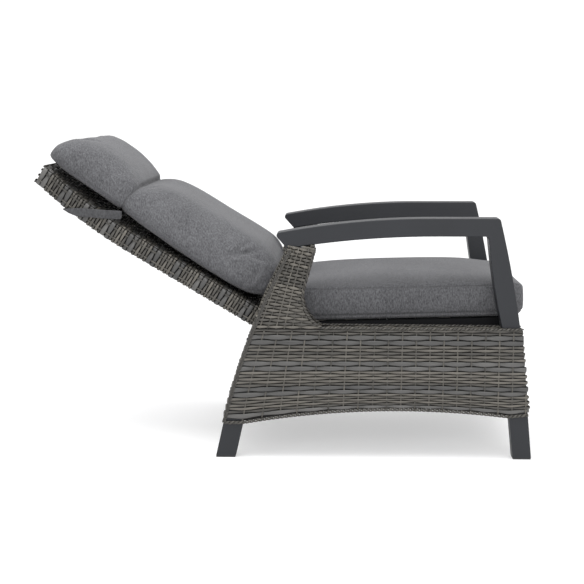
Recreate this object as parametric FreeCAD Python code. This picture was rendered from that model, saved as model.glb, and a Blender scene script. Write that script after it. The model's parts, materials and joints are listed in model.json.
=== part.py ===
"""Reclining garden armchair: woven sides on an aluminium frame, loose cushions, and a back that
tilts on two bolts and is held by a lockable gas spring under the seat.

Millimetres. +X is the way the sitter faces, +Y is the sitter's left, +Z is up, and Z = 0 is the floor.
The back is drawn fully reclined, which is its rest position.
"""
import FreeCAD, Part
import math
import os

Vector = FreeCAD.Vector
Y_AXIS = Vector(0, 1, 0)
ORIGIN = Vector(0, 0, 0)

# Driving dimensions ------------------------------------------------------------------------------
HALF_WIDTH = 340.0          # outer face of the woven sides
SIDE_INNER = 282.0          # inner face of the woven sides
LEG_OUTER = 334.0           # outer face of legs, posts and arms
LEG_INNER = 294.0
ARM_INNER = 274.0
POST_INNER = SIDE_INNER
SKIN = 6.0                  # thickness of the weave
WALL = 2.5                  # wall of legs and arms
TUBE = 25.0                 # square frame tube
TUBE_WALL = 2.0
LEDGE_Z = 357.0             # top of the woven ledge that the posts stand on
GLIDE_HEIGHT = 4.0
EDGE_RADIUS = 2.5

BACK_ANGLE = 32.6           # slope of the reclined back above the horizontal, degrees
BACK_FOOT = (10.0, 330.0)   # X, Z where the back's own frame of reference starts
BACK_HALF = 272.0           # half width of the woven back
BACK_THICK = 54.0
BACK_START, BACK_BEND, BACK_END = 12.0, 480.0, 802.0    # along the back, from its foot
BACK_CUSHION_HALF = 264.0

PIVOT_X, PIVOT_Z = 2.0, 420.0
PIVOT_BOLT_R = 5.0
RUNNING_GAP = 0.05          # radial clearance of a shaft that turns

SEAT_TILT = 1.64            # front of the seat higher than the rear, degrees
SEAT_REAR = (6.0, 364.2)    # X, Z of the seat cushion's lower rear edge
SEAT_LENGTH = 649.0
SEAT_CUSHION_HALF = 271.0
SEAT_CUSHION_THICK = 100.0
SEAT_FRAME_HALF = 268.0
WEBBING_THICK = 2.5

SPRING_ANCHOR = (300.0, 262.0)      # X, Z of the gas spring's front pivot
SPRING_TAIL_U, SPRING_TAIL_N = -12.0, -5.0    # its rear pivot, in the back's frame of reference
BUTTON_OFFSET = 10.0        # cam nose to lever shaft


# Drawing helpers ---------------------------------------------------------------------------------
def at(point, y=0.0):
    return Vector(point[0], y, point[1])


def line(a, b):
    return Part.LineSegment(at(a), at(b)).toShape()


def arc(a, middle, b):
    return Part.Arc(at(a), at(middle), at(b)).toShape()


def spline(points):
    curve = Part.BSplineCurve()
    curve.interpolate([at(p) for p in points])
    return curve.toShape()


def chain(points):
    return [line(a, b) for a, b in zip(points, points[1:])]


def outline(edges):
    """The flat face in the XZ plane that the edges enclose."""
    return Part.Face(Part.Wire(Part.__sortEdges__(edges)))


def polygon(points):
    return outline(chain(list(points) + [points[0]]))


def inset(face, depth):
    return face.makeOffset2D(-depth, 0)


def slab(face, y0, y1):
    """A face in the XZ plane made solid between two Y positions."""
    solid = face.copy()
    solid.translate(Vector(0, y0, 0))
    return solid.extrude(Vector(0, y1 - y0, 0))


def block(x0, x1, y0, y1, z0, z1):
    return Part.makeBox(x1 - x0, y1 - y0, z1 - z0, Vector(x0, y0, z0))


def rod_y(x, z, radius, y0, y1):
    return Part.makeCylinder(radius, y1 - y0, Vector(x, y0, z), Y_AXIS)


def rod_z(x, y, radius, z0, z1):
    return Part.makeCylinder(radius, z1 - z0, Vector(x, y, z0))


def fuse(shapes):
    shapes = list(shapes)
    return (shapes[0].multiFuse(shapes[1:]) if len(shapes) > 1 else shapes[0]).removeSplitter()


def mirrored(shape):
    return shape.mirror(ORIGIN, Y_AXIS)


def pair(shape):
    """The left shape and its mirror image on the right, as one group."""
    return Part.makeCompound([shape, mirrored(shape)])


def band(points, width):
    """The flat strip of one width whose middle line runs through the points, with mitred bends."""
    half = width / 2
    sides = ([], [])
    for i, (x, z) in enumerate(points):
        before = points[max(i - 1, 0)]
        after = points[min(i + 1, len(points) - 1)]
        run_in = math.atan2(z - before[1], x - before[0]) if i else None
        run_out = math.atan2(after[1] - z, after[0] - x) if i < len(points) - 1 else None
        run_in = run_out if run_in is None else run_in
        run_out = run_in if run_out is None else run_out
        heading = (run_in + run_out) / 2
        reach = half / math.cos((run_out - run_in) / 2)
        for side, sign in zip(sides, (1, -1)):
            side.append((x - sign * reach * math.sin(heading), z + sign * reach * math.cos(heading)))
    return polygon(sides[0] + sides[1][::-1])


def bent_tube(points, width, y0, y1, wall=TUBE_WALL):
    """A rectangular tube along the points, open at both ends."""
    (ax, az), (bx, bz) = points[0], points[1]
    (cx, cz), (dx, dz) = points[-2], points[-1]
    start, end = math.hypot(bx - ax, bz - az), math.hypot(dx - cx, dz - cz)
    longer = ([(ax - (bx - ax) / start, az - (bz - az) / start)] + list(points[1:-1])
              + [(dx + (dx - cx) / end, dz + (dz - cz) / end)])
    bore = slab(band(longer, width - 2 * wall), y0 + wall, y1 - wall)
    return slab(band(points, width), y0, y1).cut(bore)


def filled_cross_tube(x, z, size, half):
    return block(x - size / 2, x + size / 2, -half, half, z - size / 2, z + size / 2)


def cross_tube(x, z, size, half):
    """A square tube across the chair, open at both ends."""
    return filled_cross_tube(x, z, size, half).cut(filled_cross_tube(x, z, size - 2 * TUBE_WALL, half))


# Frames of reference -----------------------------------------------------------------------------
def back_point(u, n):
    """Row X, Z of a point u along the reclined back and n in front of its reference line."""
    angle = math.radians(BACK_ANGLE)
    return (BACK_FOOT[0] - u * math.cos(angle) + n * math.sin(angle),
            BACK_FOOT[1] + u * math.sin(angle) + n * math.cos(angle))


def place_back(shape):
    """Moves a shape drawn with x = -u and z = n into the reclined back's place."""
    shape.rotate(ORIGIN, Y_AXIS, BACK_ANGLE)
    shape.translate(at(BACK_FOOT))
    return shape


def place_seat(shape):
    """Moves a shape drawn flat, from the seat cushion's lower rear edge, into the tilted seat's place."""
    shape.rotate(ORIGIN, Y_AXIS, -SEAT_TILT)
    shape.translate(at(SEAT_REAR))
    return shape


SPRING_TAIL = back_point(SPRING_TAIL_U, SPRING_TAIL_N)
SPRING_LENGTH = math.hypot(SPRING_TAIL[0] - SPRING_ANCHOR[0], SPRING_TAIL[1] - SPRING_ANCHOR[1])
SPRING_DIR = ((SPRING_TAIL[0] - SPRING_ANCHOR[0]) / SPRING_LENGTH,
              (SPRING_TAIL[1] - SPRING_ANCHOR[1]) / SPRING_LENGTH)


def spring_point(d, h=0.0):
    """Row X, Z of a point d from the spring's front pivot towards its rear one, and h above its axis."""
    return (SPRING_ANCHOR[0] + d * SPRING_DIR[0] + h * SPRING_DIR[1],
            SPRING_ANCHOR[1] + d * SPRING_DIR[1] - h * SPRING_DIR[0])


def spring_rod(radius, d0, d1):
    return Part.makeCylinder(radius, d1 - d0, at(spring_point(d0)), at(SPRING_DIR))


def spring_slab(d0, d1, h0, h1, y0, y1):
    corners = [spring_point(d, h) for d, h in ((d0, h0), (d1, h0), (d1, h1), (d0, h1))]
    return slab(polygon(corners), y0, y1)


def back_middle(u):
    """Height n of the back's middle line, straight to the bend and curling forward above it."""
    beyond = max(0.0, u - BACK_BEND)
    return -4 - 0.031 * u + 0.00036 * beyond ** 2


def back_band(u0, u1, low, high):
    """The strip between two heights above and below the back's middle line, drawn with x = -u."""
    def point(u, offset):
        return (-u, back_middle(u) + offset)

    def side(offset):
        middle = (BACK_BEND + u1) / 2
        return [line(point(u0, offset), point(BACK_BEND, offset)),
                arc(point(BACK_BEND, offset), point(middle, offset), point(u1, offset))]

    ends = [line(point(u, low), point(u, high)) for u in (u0, u1)]
    return outline(side(low) + side(high) + ends)


# Side outline ------------------------------------------------------------------------------------
def side_outline():
    rear = arc((-166, 94), (-87, 345), (17, 572))
    front = arc((61.5, 468), (64, 411), (116, LEDGE_Z))
    bottom = arc((-106, 94), (260, 132), (612, 115))
    return outline([rear, line((17, 572), (93, 581)), line((93, 581), (61.5, 468)), front,
                    line((116, LEDGE_Z), (647, LEDGE_Z)),
                    line((647, LEDGE_Z), (670, 121)), line((670, 121), (612, 115)), bottom,
                    line((-106, 94), (-166, 94))])


def side_cavity():
    return slab(inset(side_outline(), SKIN), SIDE_INNER + SKIN, LEG_OUTER)


# Legs --------------------------------------------------------------------------------------------
FRONT_LEG = ([(626, 0), (614.5, 114), (592, 350)], [(676, 0), (665, 114), (640, 350)])
REAR_LEG = ([(-181, 0), (-160, 94), (-131, 183), (-104, 271), (-81, 340)],
            [(-127, 0), (-106, 94), (-88, 183), (-63, 271), (-40, 340)])


def leg_edge(points, z):
    """X of a leg's edge at one height."""
    for (xa, za), (xb, zb) in zip(points, points[1:]):
        if z <= zb:
            break
    return xa + (xb - xa) * (z - za) / (zb - za)


def leg_face(leg, shrink, bottom):
    rear, front = leg
    rear_side = [(leg_edge(rear, bottom) + shrink, bottom)] + [(x + shrink, z) for x, z in rear[1:]]
    front_side = [(leg_edge(front, bottom) - shrink, bottom)] + [(x - shrink, z) for x, z in front[1:]]
    return polygon(rear_side + front_side[::-1])


def filled_leg(leg):
    return slab(leg_face(leg, 0, GLIDE_HEIGHT), LEG_INNER, LEG_OUTER)


def make_leg(leg):
    """Hollow leg, open at the foot and closed at the top by a plate."""
    top = leg[0][-1][1]
    bore = slab(leg_face(leg, WALL, GLIDE_HEIGHT), LEG_INNER + WALL, LEG_OUTER - WALL)
    plate_thick = 4.0
    ends = (leg[0][0][0], leg[1][-1][0])
    plate = block(min(ends) - 50, max(ends) + 50, LEG_INNER, LEG_OUTER, top - plate_thick, top)
    return filled_leg(leg).cut(bore.cut(plate))


def make_glide(leg):
    """Plastic foot: a plate under the tube and a plug inside it."""
    rear, front = leg
    plug_top, rim = 18.0, 0.8

    def piece(shrink, z0, z1, y_shrink):
        corners = [(leg_edge(rear, z0) + shrink, z0), (leg_edge(front, z0) - shrink, z0),
                   (leg_edge(front, z1) - shrink, z1), (leg_edge(rear, z1) + shrink, z1)]
        return slab(polygon(corners), LEG_INNER + y_shrink, LEG_OUTER - y_shrink)

    return fuse([piece(rim, 0, GLIDE_HEIGHT, rim), piece(WALL, GLIDE_HEIGHT, plug_top, WALL)])


# Arms --------------------------------------------------------------------------------------------
ARM_SCREW_Y = (303.0, 316.0)
FRONT_SCREW_X, REAR_SCREW_X = 614.0, 52.0
SCREW_R, SCREW_HEAD_R = 3.0, 5.5


def level_arc(start, level):
    """Arc from a start point to a level stretch that it joins smoothly."""
    run, rise = level[0] - start[0], level[1] - start[1]
    radius = (run ** 2 + rise ** 2) / (2 * rise)
    middle_drop = radius - math.sqrt(radius ** 2 - (run / 2) ** 2)
    return arc(start, (start[0] + run / 2, level[1] - middle_drop), level)


ARM_TIP, ARM_TIP_UNDER = (-22, 613), (14, 573)
ARM_FRONT, ARM_CROOK = (579.5, 654), (549, 606)
ARM_FOOT_SPARE = 2.0


def arm_outline():
    """Outline of the arm and its post, reaching a little below the ledge, where make_arm cuts it off."""
    front_join, rear_join = (636.58, 373), (587.22, 373)
    foot_z = LEDGE_Z - ARM_FOOT_SPARE
    front_foot, rear_foot = (639.35, foot_z), (591.38, foot_z)
    return outline([
        level_arc(ARM_TIP, (400, 654)), line((400, 654), ARM_FRONT), arc(ARM_FRONT, (616, 491), front_join),
        line(front_join, front_foot), line(front_foot, rear_foot), line(rear_foot, rear_join),
        arc(rear_join, (564, 491), ARM_CROOK),
        line(ARM_CROOK, (420, 606)), level_arc(ARM_TIP_UNDER, (420, 606)), line(ARM_TIP_UNDER, ARM_TIP)])


def arm_screw(x, z_head, z_tip):
    """Screw up into the arm from inside the frame, one for each of the two rows."""
    head = 4.0
    return [fuse([rod_z(x, y, SCREW_HEAD_R, z_head, z_head + head), rod_z(x, y, SCREW_R, z_head, z_tip)])
            for y in ARM_SCREW_Y]


def screw_holes():
    """Shafts of the arm screws, for cutting their holes."""
    return [rod_z(x, y, SCREW_R, z0, z1) for x, z0, z1 in
            ((FRONT_SCREW_X, 330, 372), (REAR_SCREW_X, 552, 592)) for y in ARM_SCREW_Y]


def corner_edges(solid, corner):
    """Edges across the chair at one corner of the outline."""
    return [e for e in solid.Edges if e.BoundBox.YLength > 1 and e.BoundBox.XLength < 0.01
            and abs(e.BoundBox.XMin - corner[0]) < 0.5 and abs(e.BoundBox.ZMin - corner[1]) < 0.5]


def is_rim_edge(edge):
    """True for the edges round the outer face above the ledge, and round the arm's inner face."""
    box = edge.BoundBox
    if box.YLength > 0.01 or box.ZMax < LEDGE_Z + 1:
        return False
    outer = abs(box.YMin - LEG_OUTER) < 0.01
    inside = abs(box.YMin - ARM_INNER) < 0.01 and box.ZMax > 610
    return outer or inside


def make_arm():
    """Hollow arm and front post in one, with a closed foot that takes two screws."""
    foot_plate, inner_under = 4.0, 603.0
    face = arm_outline()
    solid = slab(face, ARM_INNER, LEG_OUTER)
    for corner, radius in ((ARM_TIP, 8.5), (ARM_TIP_UNDER, 2.0), (ARM_FRONT, 8.0), (ARM_CROOK, 9.0)):
        solid = solid.makeFillet(radius, corner_edges(solid, corner))
    solid = solid.cut(block(530, 650, ARM_INNER, POST_INNER, LEDGE_Z - 10, inner_under))
    rounded = solid.makeFillet(EDGE_RADIUS, [e for e in solid.Edges if is_rim_edge(e)])
    cavity = slab(inset(face, WALL), ARM_INNER + WALL, LEG_OUTER - WALL)
    for corner, radius in ((ARM_TIP, 8.5 - WALL), (ARM_FRONT, 8.0 - WALL)):
        near = [e for e in cavity.Edges if e.BoundBox.YLength > 1
                and math.hypot(e.BoundBox.XMin - corner[0], e.BoundBox.ZMin - corner[1]) < 8]
        cavity = cavity.makeFillet(radius, near)
    cavity = cavity.cut(block(500, 660, ARM_INNER, POST_INNER + WALL, LEDGE_Z, inner_under + WALL))
    cavity = cavity.cut(block(500, 660, ARM_INNER, LEG_OUTER, LEDGE_Z, LEDGE_Z + foot_plate))
    spare = block(500, 660, ARM_INNER - 1, LEG_OUTER + 1, LEDGE_Z - 10, LEDGE_Z)
    return rounded.cut(cavity).cut(spare).cut(Part.makeCompound(screw_holes()))


# Woven sides and the rails inside them -----------------------------------------------------------
RAIL_Y = (297.0, 322.0)
LEDGE_RAIL_Z = LEDGE_Z - SKIN - TUBE / 2
BOTTOM_RAIL_Z = 156.0
UPRIGHT_WIDE = 30.0
STRUT_X = SPRING_ANCHOR[0]
CROSS_TUBE_Z = 230.0
CROSS_TUBE_SIZE = 30.0


def make_side_rails():
    low, high = RAIL_Y
    ledge_rail = bent_tube([(100, LEDGE_RAIL_Z), (600, LEDGE_RAIL_Z)], TUBE, low, high)
    bottom_rail = bent_tube([(-110, BOTTOM_RAIL_Z), (625, BOTTOM_RAIL_Z)], TUBE, low, high)
    strut_ends = [(STRUT_X, BOTTOM_RAIL_Z + TUBE / 2), (STRUT_X, LEDGE_RAIL_Z - TUBE / 2)]
    strut = bent_tube(strut_ends, TUBE, low, high)
    spine = [(-64, 332), (PIVOT_X, PIVOT_Z + 4), (50, 572)]
    upright = bent_tube(spine, UPRIGHT_WIDE, low, high)
    knee = bent_tube([(-10, 407), (104, LEDGE_RAIL_Z)], TUBE, low, high)
    trimmed_knee = knee.cut(slab(band(spine, UPRIGHT_WIDE), low, high))
    top_plate = block(20, 84, low, high, 556, 562)
    rails = fuse([upright, trimmed_knee, ledge_rail.cut(knee), bottom_rail, strut, top_plate])
    legs = Part.makeCompound([filled_leg(FRONT_LEG), filled_leg(REAR_LEG)])
    return rails.common(side_cavity()).cut(legs)


def make_side_weave(holes):
    shell = slab(side_outline(), SIDE_INNER, HALF_WIDTH)
    rear_edge = [e for e in shell.Edges if e.BoundBox.YMin > HALF_WIDTH - 0.01 and e.BoundBox.ZLength > 400]
    return shell.makeFillet(SKIN, rear_edge).cut(side_cavity()).cut(Part.makeCompound(holes))


# Aprons at the front and rear --------------------------------------------------------------------
FRONT_APRON = [(668, 122), (646, 351), (606, 351), (628, 122)]
REAR_APRON = [(-162, 97), (-112, 275), (-80, 275), (-130, 97)]
FRONT_APRON_TUBE, REAR_APRON_TUBE = 22.0, 18.0
APRON_POST_Y = (-120.0, 120.0)


def apron_tube_places(corners, inset_z):
    """X, Z of the apron's lower and upper tube, midway between its front and rear face."""
    (xa, za), (xb, zb), (xc, _), (xd, _) = corners

    def middle(z):
        share = (z - za) / (zb - za)
        return ((xa + xd) + ((xb + xc) - (xa + xd)) * share) / 2

    return [(middle(z), z) for z in (za + inset_z, zb - inset_z)]


def make_apron_rails(places, size):
    """Two tubes across the chair between the legs, tied by two short posts."""
    tubes = [cross_tube(x, z, size, LEG_INNER) for x, z in places]
    filled = Part.makeCompound([filled_cross_tube(x, z, size, LEG_INNER) for x, z in places])
    half = size / 2 - 1
    posts = [bent_tube(places, 2 * half, y - half, y + half).cut(filled) for y in APRON_POST_Y]
    return fuse(tubes + posts)


def make_apron_weave(corners, places, size):
    face = polygon(corners)
    shell = slab(face, -SIDE_INNER, SIDE_INNER)
    hollow = slab(inset(face, SKIN), -SIDE_INNER + SKIN, SIDE_INNER - SKIN)
    tubes = [filled_cross_tube(x, z, size, LEG_INNER) for x, z in places]
    return shell.cut(hollow).cut(Part.makeCompound(tubes))


# Seat --------------------------------------------------------------------------------------------
RAIL_HIGH, RAIL_WIDE = 20.0, 25.0
SEAT_FRAME_START, SEAT_FRAME_MIDDLE, SEAT_FRAME_END = 28.0, 306.0, 591.0
WEBBING_TOP = -0.3          # just clear of the cushion
SEAT_FRAME_TOP = WEBBING_TOP - WEBBING_THICK


def make_seat_frame():
    top = SEAT_FRAME_TOP
    low = top - RAIL_HIGH
    outer = block(SEAT_FRAME_START, SEAT_FRAME_END, -SEAT_FRAME_HALF, SEAT_FRAME_HALF, low, top)
    inner_half = SEAT_FRAME_HALF - RAIL_WIDE
    spans = ((SEAT_FRAME_START + RAIL_WIDE, SEAT_FRAME_MIDDLE),
             (SEAT_FRAME_MIDDLE + RAIL_WIDE, SEAT_FRAME_END - RAIL_WIDE))
    windows = [block(x0, x1, -inner_half, inner_half, low - 1, top + 1) for x0, x1 in spans]
    frame = outer.cut(Part.makeCompound(windows))

    def bore(x0, x1, y0, y1):
        return block(x0, x1, y0, y1, low + TUBE_WALL, top - TUBE_WALL)

    side_bore = bore(SEAT_FRAME_START - 1, SEAT_FRAME_END + 1,
                     inner_half + TUBE_WALL, SEAT_FRAME_HALF - TUBE_WALL)
    reach = inner_half + TUBE_WALL + 1
    rail_bores = [bore(x + TUBE_WALL, x + RAIL_WIDE - TUBE_WALL, -reach, reach)
                  for x in (SEAT_FRAME_START, SEAT_FRAME_MIDDLE, SEAT_FRAME_END - RAIL_WIDE)]
    return place_seat(frame.cut(Part.makeCompound([side_bore, mirrored(side_bore)] + rail_bores)))


def make_webbing():
    """Elastic straps from side rail to side rail."""
    count, width = 7, 52.0
    half = SEAT_FRAME_HALF - 6
    pitch = (SEAT_FRAME_END - SEAT_FRAME_START - width) / (count - 1)
    starts = [SEAT_FRAME_START + i * pitch for i in range(count)]
    return Part.makeCompound([place_seat(block(x, x + width, -half, half, SEAT_FRAME_TOP, WEBBING_TOP))
                              for x in starts])


CLEAT_X = (112.0, 516.0)
CLEAT_LENGTH, CLEAT_THICK = 42.0, 3.0


def make_cleats():
    """Angle cleats that carry the seat frame on the inner faces of the sides."""
    top = SEAT_FRAME_TOP - RAIL_HIGH
    shelf_y, plate_high = 244.0, 44.0
    cleats = []
    for x in CLEAT_X:
        shelf = block(x, x + CLEAT_LENGTH, shelf_y, SIDE_INNER, top - CLEAT_THICK, top)
        plate = block(x, x + CLEAT_LENGTH, SIDE_INNER - CLEAT_THICK, SIDE_INNER, top - plate_high, top)
        cleat = place_seat(fuse([shelf, plate]))
        cleats += [cleat, mirrored(cleat)]
    return Part.makeCompound(cleats)


def make_cleat_screws():
    """Two screws through each cleat into the side, with low round heads."""
    drop, head_high, length, from_end = 48.0, 2.5, 12.0, 10.0
    head_r, shaft_r = 4.5, 2.0
    face = SIDE_INNER - CLEAT_THICK
    screws = []
    for x in CLEAT_X:
        for step in (from_end, CLEAT_LENGTH - from_end):
            spot = place_seat(Part.Vertex(x + step, 0, -drop)).Point
            screw = fuse([rod_y(spot.x, spot.z, head_r, face - head_high, face),
                          rod_y(spot.x, spot.z, shaft_r, face - head_high, face + length)])
            screws += [screw, mirrored(screw)]
    return Part.makeCompound(screws)


def make_seat_cushion():
    length, high, r = SEAT_LENGTH, SEAT_CUSHION_THICK, 26.0
    box = block(0, length, -SEAT_CUSHION_HALF, SEAT_CUSHION_HALF, 0, high)
    return place_seat(box.makeFillet(r, box.Edges))


# Back --------------------------------------------------------------------------------------------
BACK_TUBE = 22.0
BACK_RAILS_U = (32.0, 300.0, 560.0, 772.0)
LUG_THICK = 4.0
BRACKET_INNER = 277.0
BUSH_OUTER_R = 7.0


def pivot_in_back():
    """The pivot in the back's frame of reference, as u and n."""
    angle = math.radians(BACK_ANGLE)
    dx, dz = PIVOT_X - BACK_FOOT[0], PIVOT_Z - BACK_FOOT[1]
    return (-dx * math.cos(angle) + dz * math.sin(angle), dx * math.sin(angle) + dz * math.cos(angle))


def lug_spacer():
    """Block through the side of the weave, between the frame tube and the lug."""
    return block(-86, -52, BACK_HALF - SKIN, BACK_HALF, -15, 3)


def make_lug():
    """Plate beside the back that reaches forward to the pivot bolt, drawn with x = -u."""
    u, n = pivot_in_back()
    eye = 16.0
    y0, y1 = BACK_HALF, BACK_HALF + LUG_THICK
    arm_face = polygon([(-u + eye, n), (-40, -18), (-88, -18), (-88, 6), (-u - eye, n)])
    plate = fuse([slab(arm_face, y0, y1), rod_y(-u, n, eye, y0, y1)])
    return place_back(fuse([plate.cut(rod_y(-u, n, BUSH_OUTER_R, y0 - 1, y1 + 1)), lug_spacer()]))


def make_back_frame():
    half = BACK_TUBE / 2
    y1 = BACK_HALF - SKIN
    y0 = y1 - BACK_TUBE
    u0, u1 = BACK_START + SKIN, BACK_END - SKIN - 2
    side = slab(back_band(u0, u1, -half, half), y0, y1)
    bore = half - TUBE_WALL
    side_bore = slab(back_band(u0 - 1, u1 + 1, -bore, bore), y0 + TUBE_WALL, y1 - TUBE_WALL)
    solids, bores = [side, mirrored(side)], [side_bore, mirrored(side_bore)]
    reach = y0 + TUBE_WALL + 1
    for u in BACK_RAILS_U:
        n = back_middle(u)
        solids.append(block(-u - half, -u + half, -y0, y0, n - half, n + half))
        bores.append(block(-u - bore, -u + bore, -reach, reach, n - bore, n + bore))
    return place_back(fuse(solids).cut(fuse(bores)))


def make_back_weave(clevis):
    half = BACK_THICK / 2
    shell = slab(back_band(BACK_START, BACK_END, -half, half), -BACK_HALF, BACK_HALF)
    hollow = slab(back_band(BACK_START + SKIN, BACK_END - SKIN, -half + SKIN, half - SKIN),
                  -BACK_HALF + SKIN, BACK_HALF - SKIN)
    return place_back(shell.cut(hollow).cut(pair(lug_spacer()))).cut(clevis)


def make_back_cushion():
    """Cushion of one width with a fuller head end, its two parts divided by a sewn valley."""
    rear = spline([(-120, 27), (-300, 25), (-480, 31), (-620, 41), (-745, 43)])
    head_end = spline([(-745, 43), (-790, 56), (-812, 84), (-792, 116), (-742, 133)])
    head = spline([(-742, 133), (-680, 142), (-615, 137), (-568, 122)])
    body = spline([(-568, 122), (-520, 136), (-400, 140), (-260, 138), (-150, 136)])
    foot = spline([(-150, 136), (-107, 122), (-92, 84), (-98, 48), (-120, 27)])
    face = outline([rear, head_end, head, body, foot])
    return place_back(slab(face, -BACK_CUSHION_HALF, BACK_CUSHION_HALF))


def make_strap():
    """Flat band from the cushion's side seams round the rear of the woven back."""
    thick, half_wide, gap = 1.6, 12.0, 0.2
    u_seam, n_seam, u_rear = 558.0, 36.0, 686.0
    n_rear = back_middle(u_rear) - BACK_THICK / 2
    slope = (back_middle(u_rear + half_wide) - back_middle(u_rear - half_wide)) / 2
    upper = (-u_rear - half_wide, n_rear + slope - gap)
    lower = (-u_rear + half_wide, n_rear - slope - gap)
    seam_half = half_wide * 1.2
    side_face = polygon([(-u_seam + seam_half, n_seam), (-u_seam - seam_half, n_seam + 3), upper, lower])
    y0 = BACK_HALF + gap
    side = slab(side_face, y0, y0 + thick)
    rear_face = polygon([upper, lower, (lower[0], lower[1] - thick), (upper[0], upper[1] - thick)])
    rear = slab(rear_face, -y0 - thick, y0 + thick)
    return place_back(fuse([side, rear, mirrored(side)]))


# Pivot -------------------------------------------------------------------------------------------
def make_pivot_bracket():
    corners = [(-28, 392), (44, 392), (44, 448), (-8, 448), (-28, 420)]
    plate = slab(polygon(corners), BRACKET_INNER, SIDE_INNER)
    return plate.cut(rod_y(PIVOT_X, PIVOT_Z, PIVOT_BOLT_R, BRACKET_INNER - 1, SIDE_INNER + 1))


def make_pivot_bolt():
    head_high, tip = 4.0, 318.0
    face = BACK_HALF - 0.6
    head = rod_y(PIVOT_X, PIVOT_Z, 9.0, face - head_high, face)
    socket = rod_y(PIVOT_X, PIVOT_Z, 3.0, face - head_high - 1, face - 1.5)
    return fuse([head, rod_y(PIVOT_X, PIVOT_Z, PIVOT_BOLT_R, face - 0.5, tip)]).cut(socket)


def make_pivot_bush():
    """Flanged plastic bush in the lug's eye."""
    y0, y1 = BACK_HALF, BACK_HALF + LUG_THICK
    flange, flange_r = 0.8, 11.0
    sleeve = fuse([rod_y(PIVOT_X, PIVOT_Z, BUSH_OUTER_R, y0, y1),
                   rod_y(PIVOT_X, PIVOT_Z, flange_r, y1, y1 + flange)])
    return sleeve.cut(rod_y(PIVOT_X, PIVOT_Z, PIVOT_BOLT_R + RUNNING_GAP, y0 - 1, y1 + flange + 1))


# Gas spring --------------------------------------------------------------------------------------
PIN_R = 4.0
ANCHOR_PIN_R = 5.0
CYLINDER_R, CYLINDER_BORE_R, ROD_R = 11.0, 9.5, 5.0
HEAD_HALF = 11.0
HEAD_REACH = 34.0
ANCHOR_GAP = 0.5            # between the release head and each ear of its bracket
CYLINDER_START = 50.0
EYE_R, EYE_BORE_R = 14.4, 10.8
EYE_HALF = 8.0
CAP = 8.0
BUTTON_D, BUTTON_R, BUTTON_TOP = 18.0, 4.0, 17.0
NOSE_R = 3.0
SHAFT_R = 5.0
SHAFT_D, SHAFT_H = BUTTON_D - BUTTON_OFFSET, BUTTON_TOP + NOSE_R + 0.2


def make_anchor_bracket():
    top = CROSS_TUBE_Z + CROSS_TUBE_SIZE / 2
    x, z = SPRING_ANCHOR
    thick, ear_r = 3.0, 12.0
    ear_y = (HEAD_HALF + ANCHOR_GAP, -HEAD_HALF - ANCHOR_GAP - thick)
    base = block(x - 14, x + 14, -26, 26, top, top + thick)
    ears = [block(x - ear_r, x + ear_r, y, y + thick, top, z) for y in ear_y]
    ears += [rod_y(x, z, ear_r, y, y + thick) for y in ear_y]
    return fuse([base] + ears).cut(rod_y(x, z, ANCHOR_PIN_R, -30, 30))


def make_headed_pin(x, z, radius, half):
    head = 2.0
    return fuse([rod_y(x, z, radius, -half, half), rod_y(x, z, radius + 2, half, half + head),
                 rod_y(x, z, radius + 1.5, -half - head, -half)])


def make_release_head():
    block_part = spring_slab(-13, HEAD_REACH, -HEAD_HALF, HEAD_HALF, -HEAD_HALF, HEAD_HALF)
    bore = rod_y(SPRING_ANCHOR[0], SPRING_ANCHOR[1], ANCHOR_PIN_R + RUNNING_GAP, -30, 30)
    well_bottom = HEAD_HALF - 8
    well = Part.makeCylinder(BUTTON_R + RUNNING_GAP, 20, at(spring_point(BUTTON_D, well_bottom)),
                             at((SPRING_DIR[1], -SPRING_DIR[0])))
    return block_part.cut(bore).cut(well)


def make_button():
    foot = HEAD_HALF - 4.5
    up = at((SPRING_DIR[1], -SPRING_DIR[0]))
    return Part.makeCylinder(BUTTON_R, BUTTON_TOP - foot, at(spring_point(BUTTON_D, foot)), up)


def make_rod():
    """Piston rod with its piston."""
    piston = (SPRING_LENGTH - 46, SPRING_LENGTH - 34)
    return fuse([spring_rod(ROD_R, HEAD_REACH, piston[1]), spring_rod(CYLINDER_BORE_R - 0.1, *piston)])


def make_cylinder():
    end = SPRING_LENGTH - EYE_R - 6
    body = spring_rod(CYLINDER_R, CYLINDER_START, end)
    bore = spring_rod(CYLINDER_BORE_R, CYLINDER_START + CAP, end - CAP)
    return body.cut(bore).cut(spring_rod(ROD_R + RUNNING_GAP, CYLINDER_START - 1, CYLINDER_START + CAP + 1))


def make_cylinder_eye():
    """End fitting whose oversize eye surrounds the rear pin."""
    x, z = SPRING_TAIL
    end = SPRING_LENGTH - EYE_R - 6
    neck = spring_slab(end, SPRING_LENGTH - EYE_BORE_R, -7, 7, -EYE_HALF, EYE_HALF)
    return fuse([neck, rod_y(x, z, EYE_R, -EYE_HALF, EYE_HALF)]).cut(rod_y(x, z, EYE_BORE_R, -30, 30))


def make_clevis():
    """Two ears on the back's lowest rail that hold the gas spring's rear pin."""
    ears = []
    rail_face = -(BACK_RAILS_U[0] - BACK_TUBE / 2)
    for y in (EYE_HALF + 1.5, -EYE_HALF - 5.5):
        ear = fuse([block(rail_face, -SPRING_TAIL_U, y, y + 4, SPRING_TAIL_N - 9, SPRING_TAIL_N + 9),
                    rod_y(-SPRING_TAIL_U, SPRING_TAIL_N, 9, y, y + 4)])
        ears.append(ear.cut(rod_y(-SPRING_TAIL_U, SPRING_TAIL_N, PIN_R, -30, 30)))
    return place_back(Part.makeCompound(ears))


# Release lever -----------------------------------------------------------------------------------
LEVER_Y0, LEVER_Y1 = 272.6, 276.6
SHAFT_X, SHAFT_Z = spring_point(SHAFT_D, SHAFT_H)
BEARING_Y = (44.0, 250.0)
BEARING_R, BEARING_LONG = 11.0, 12.0


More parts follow.
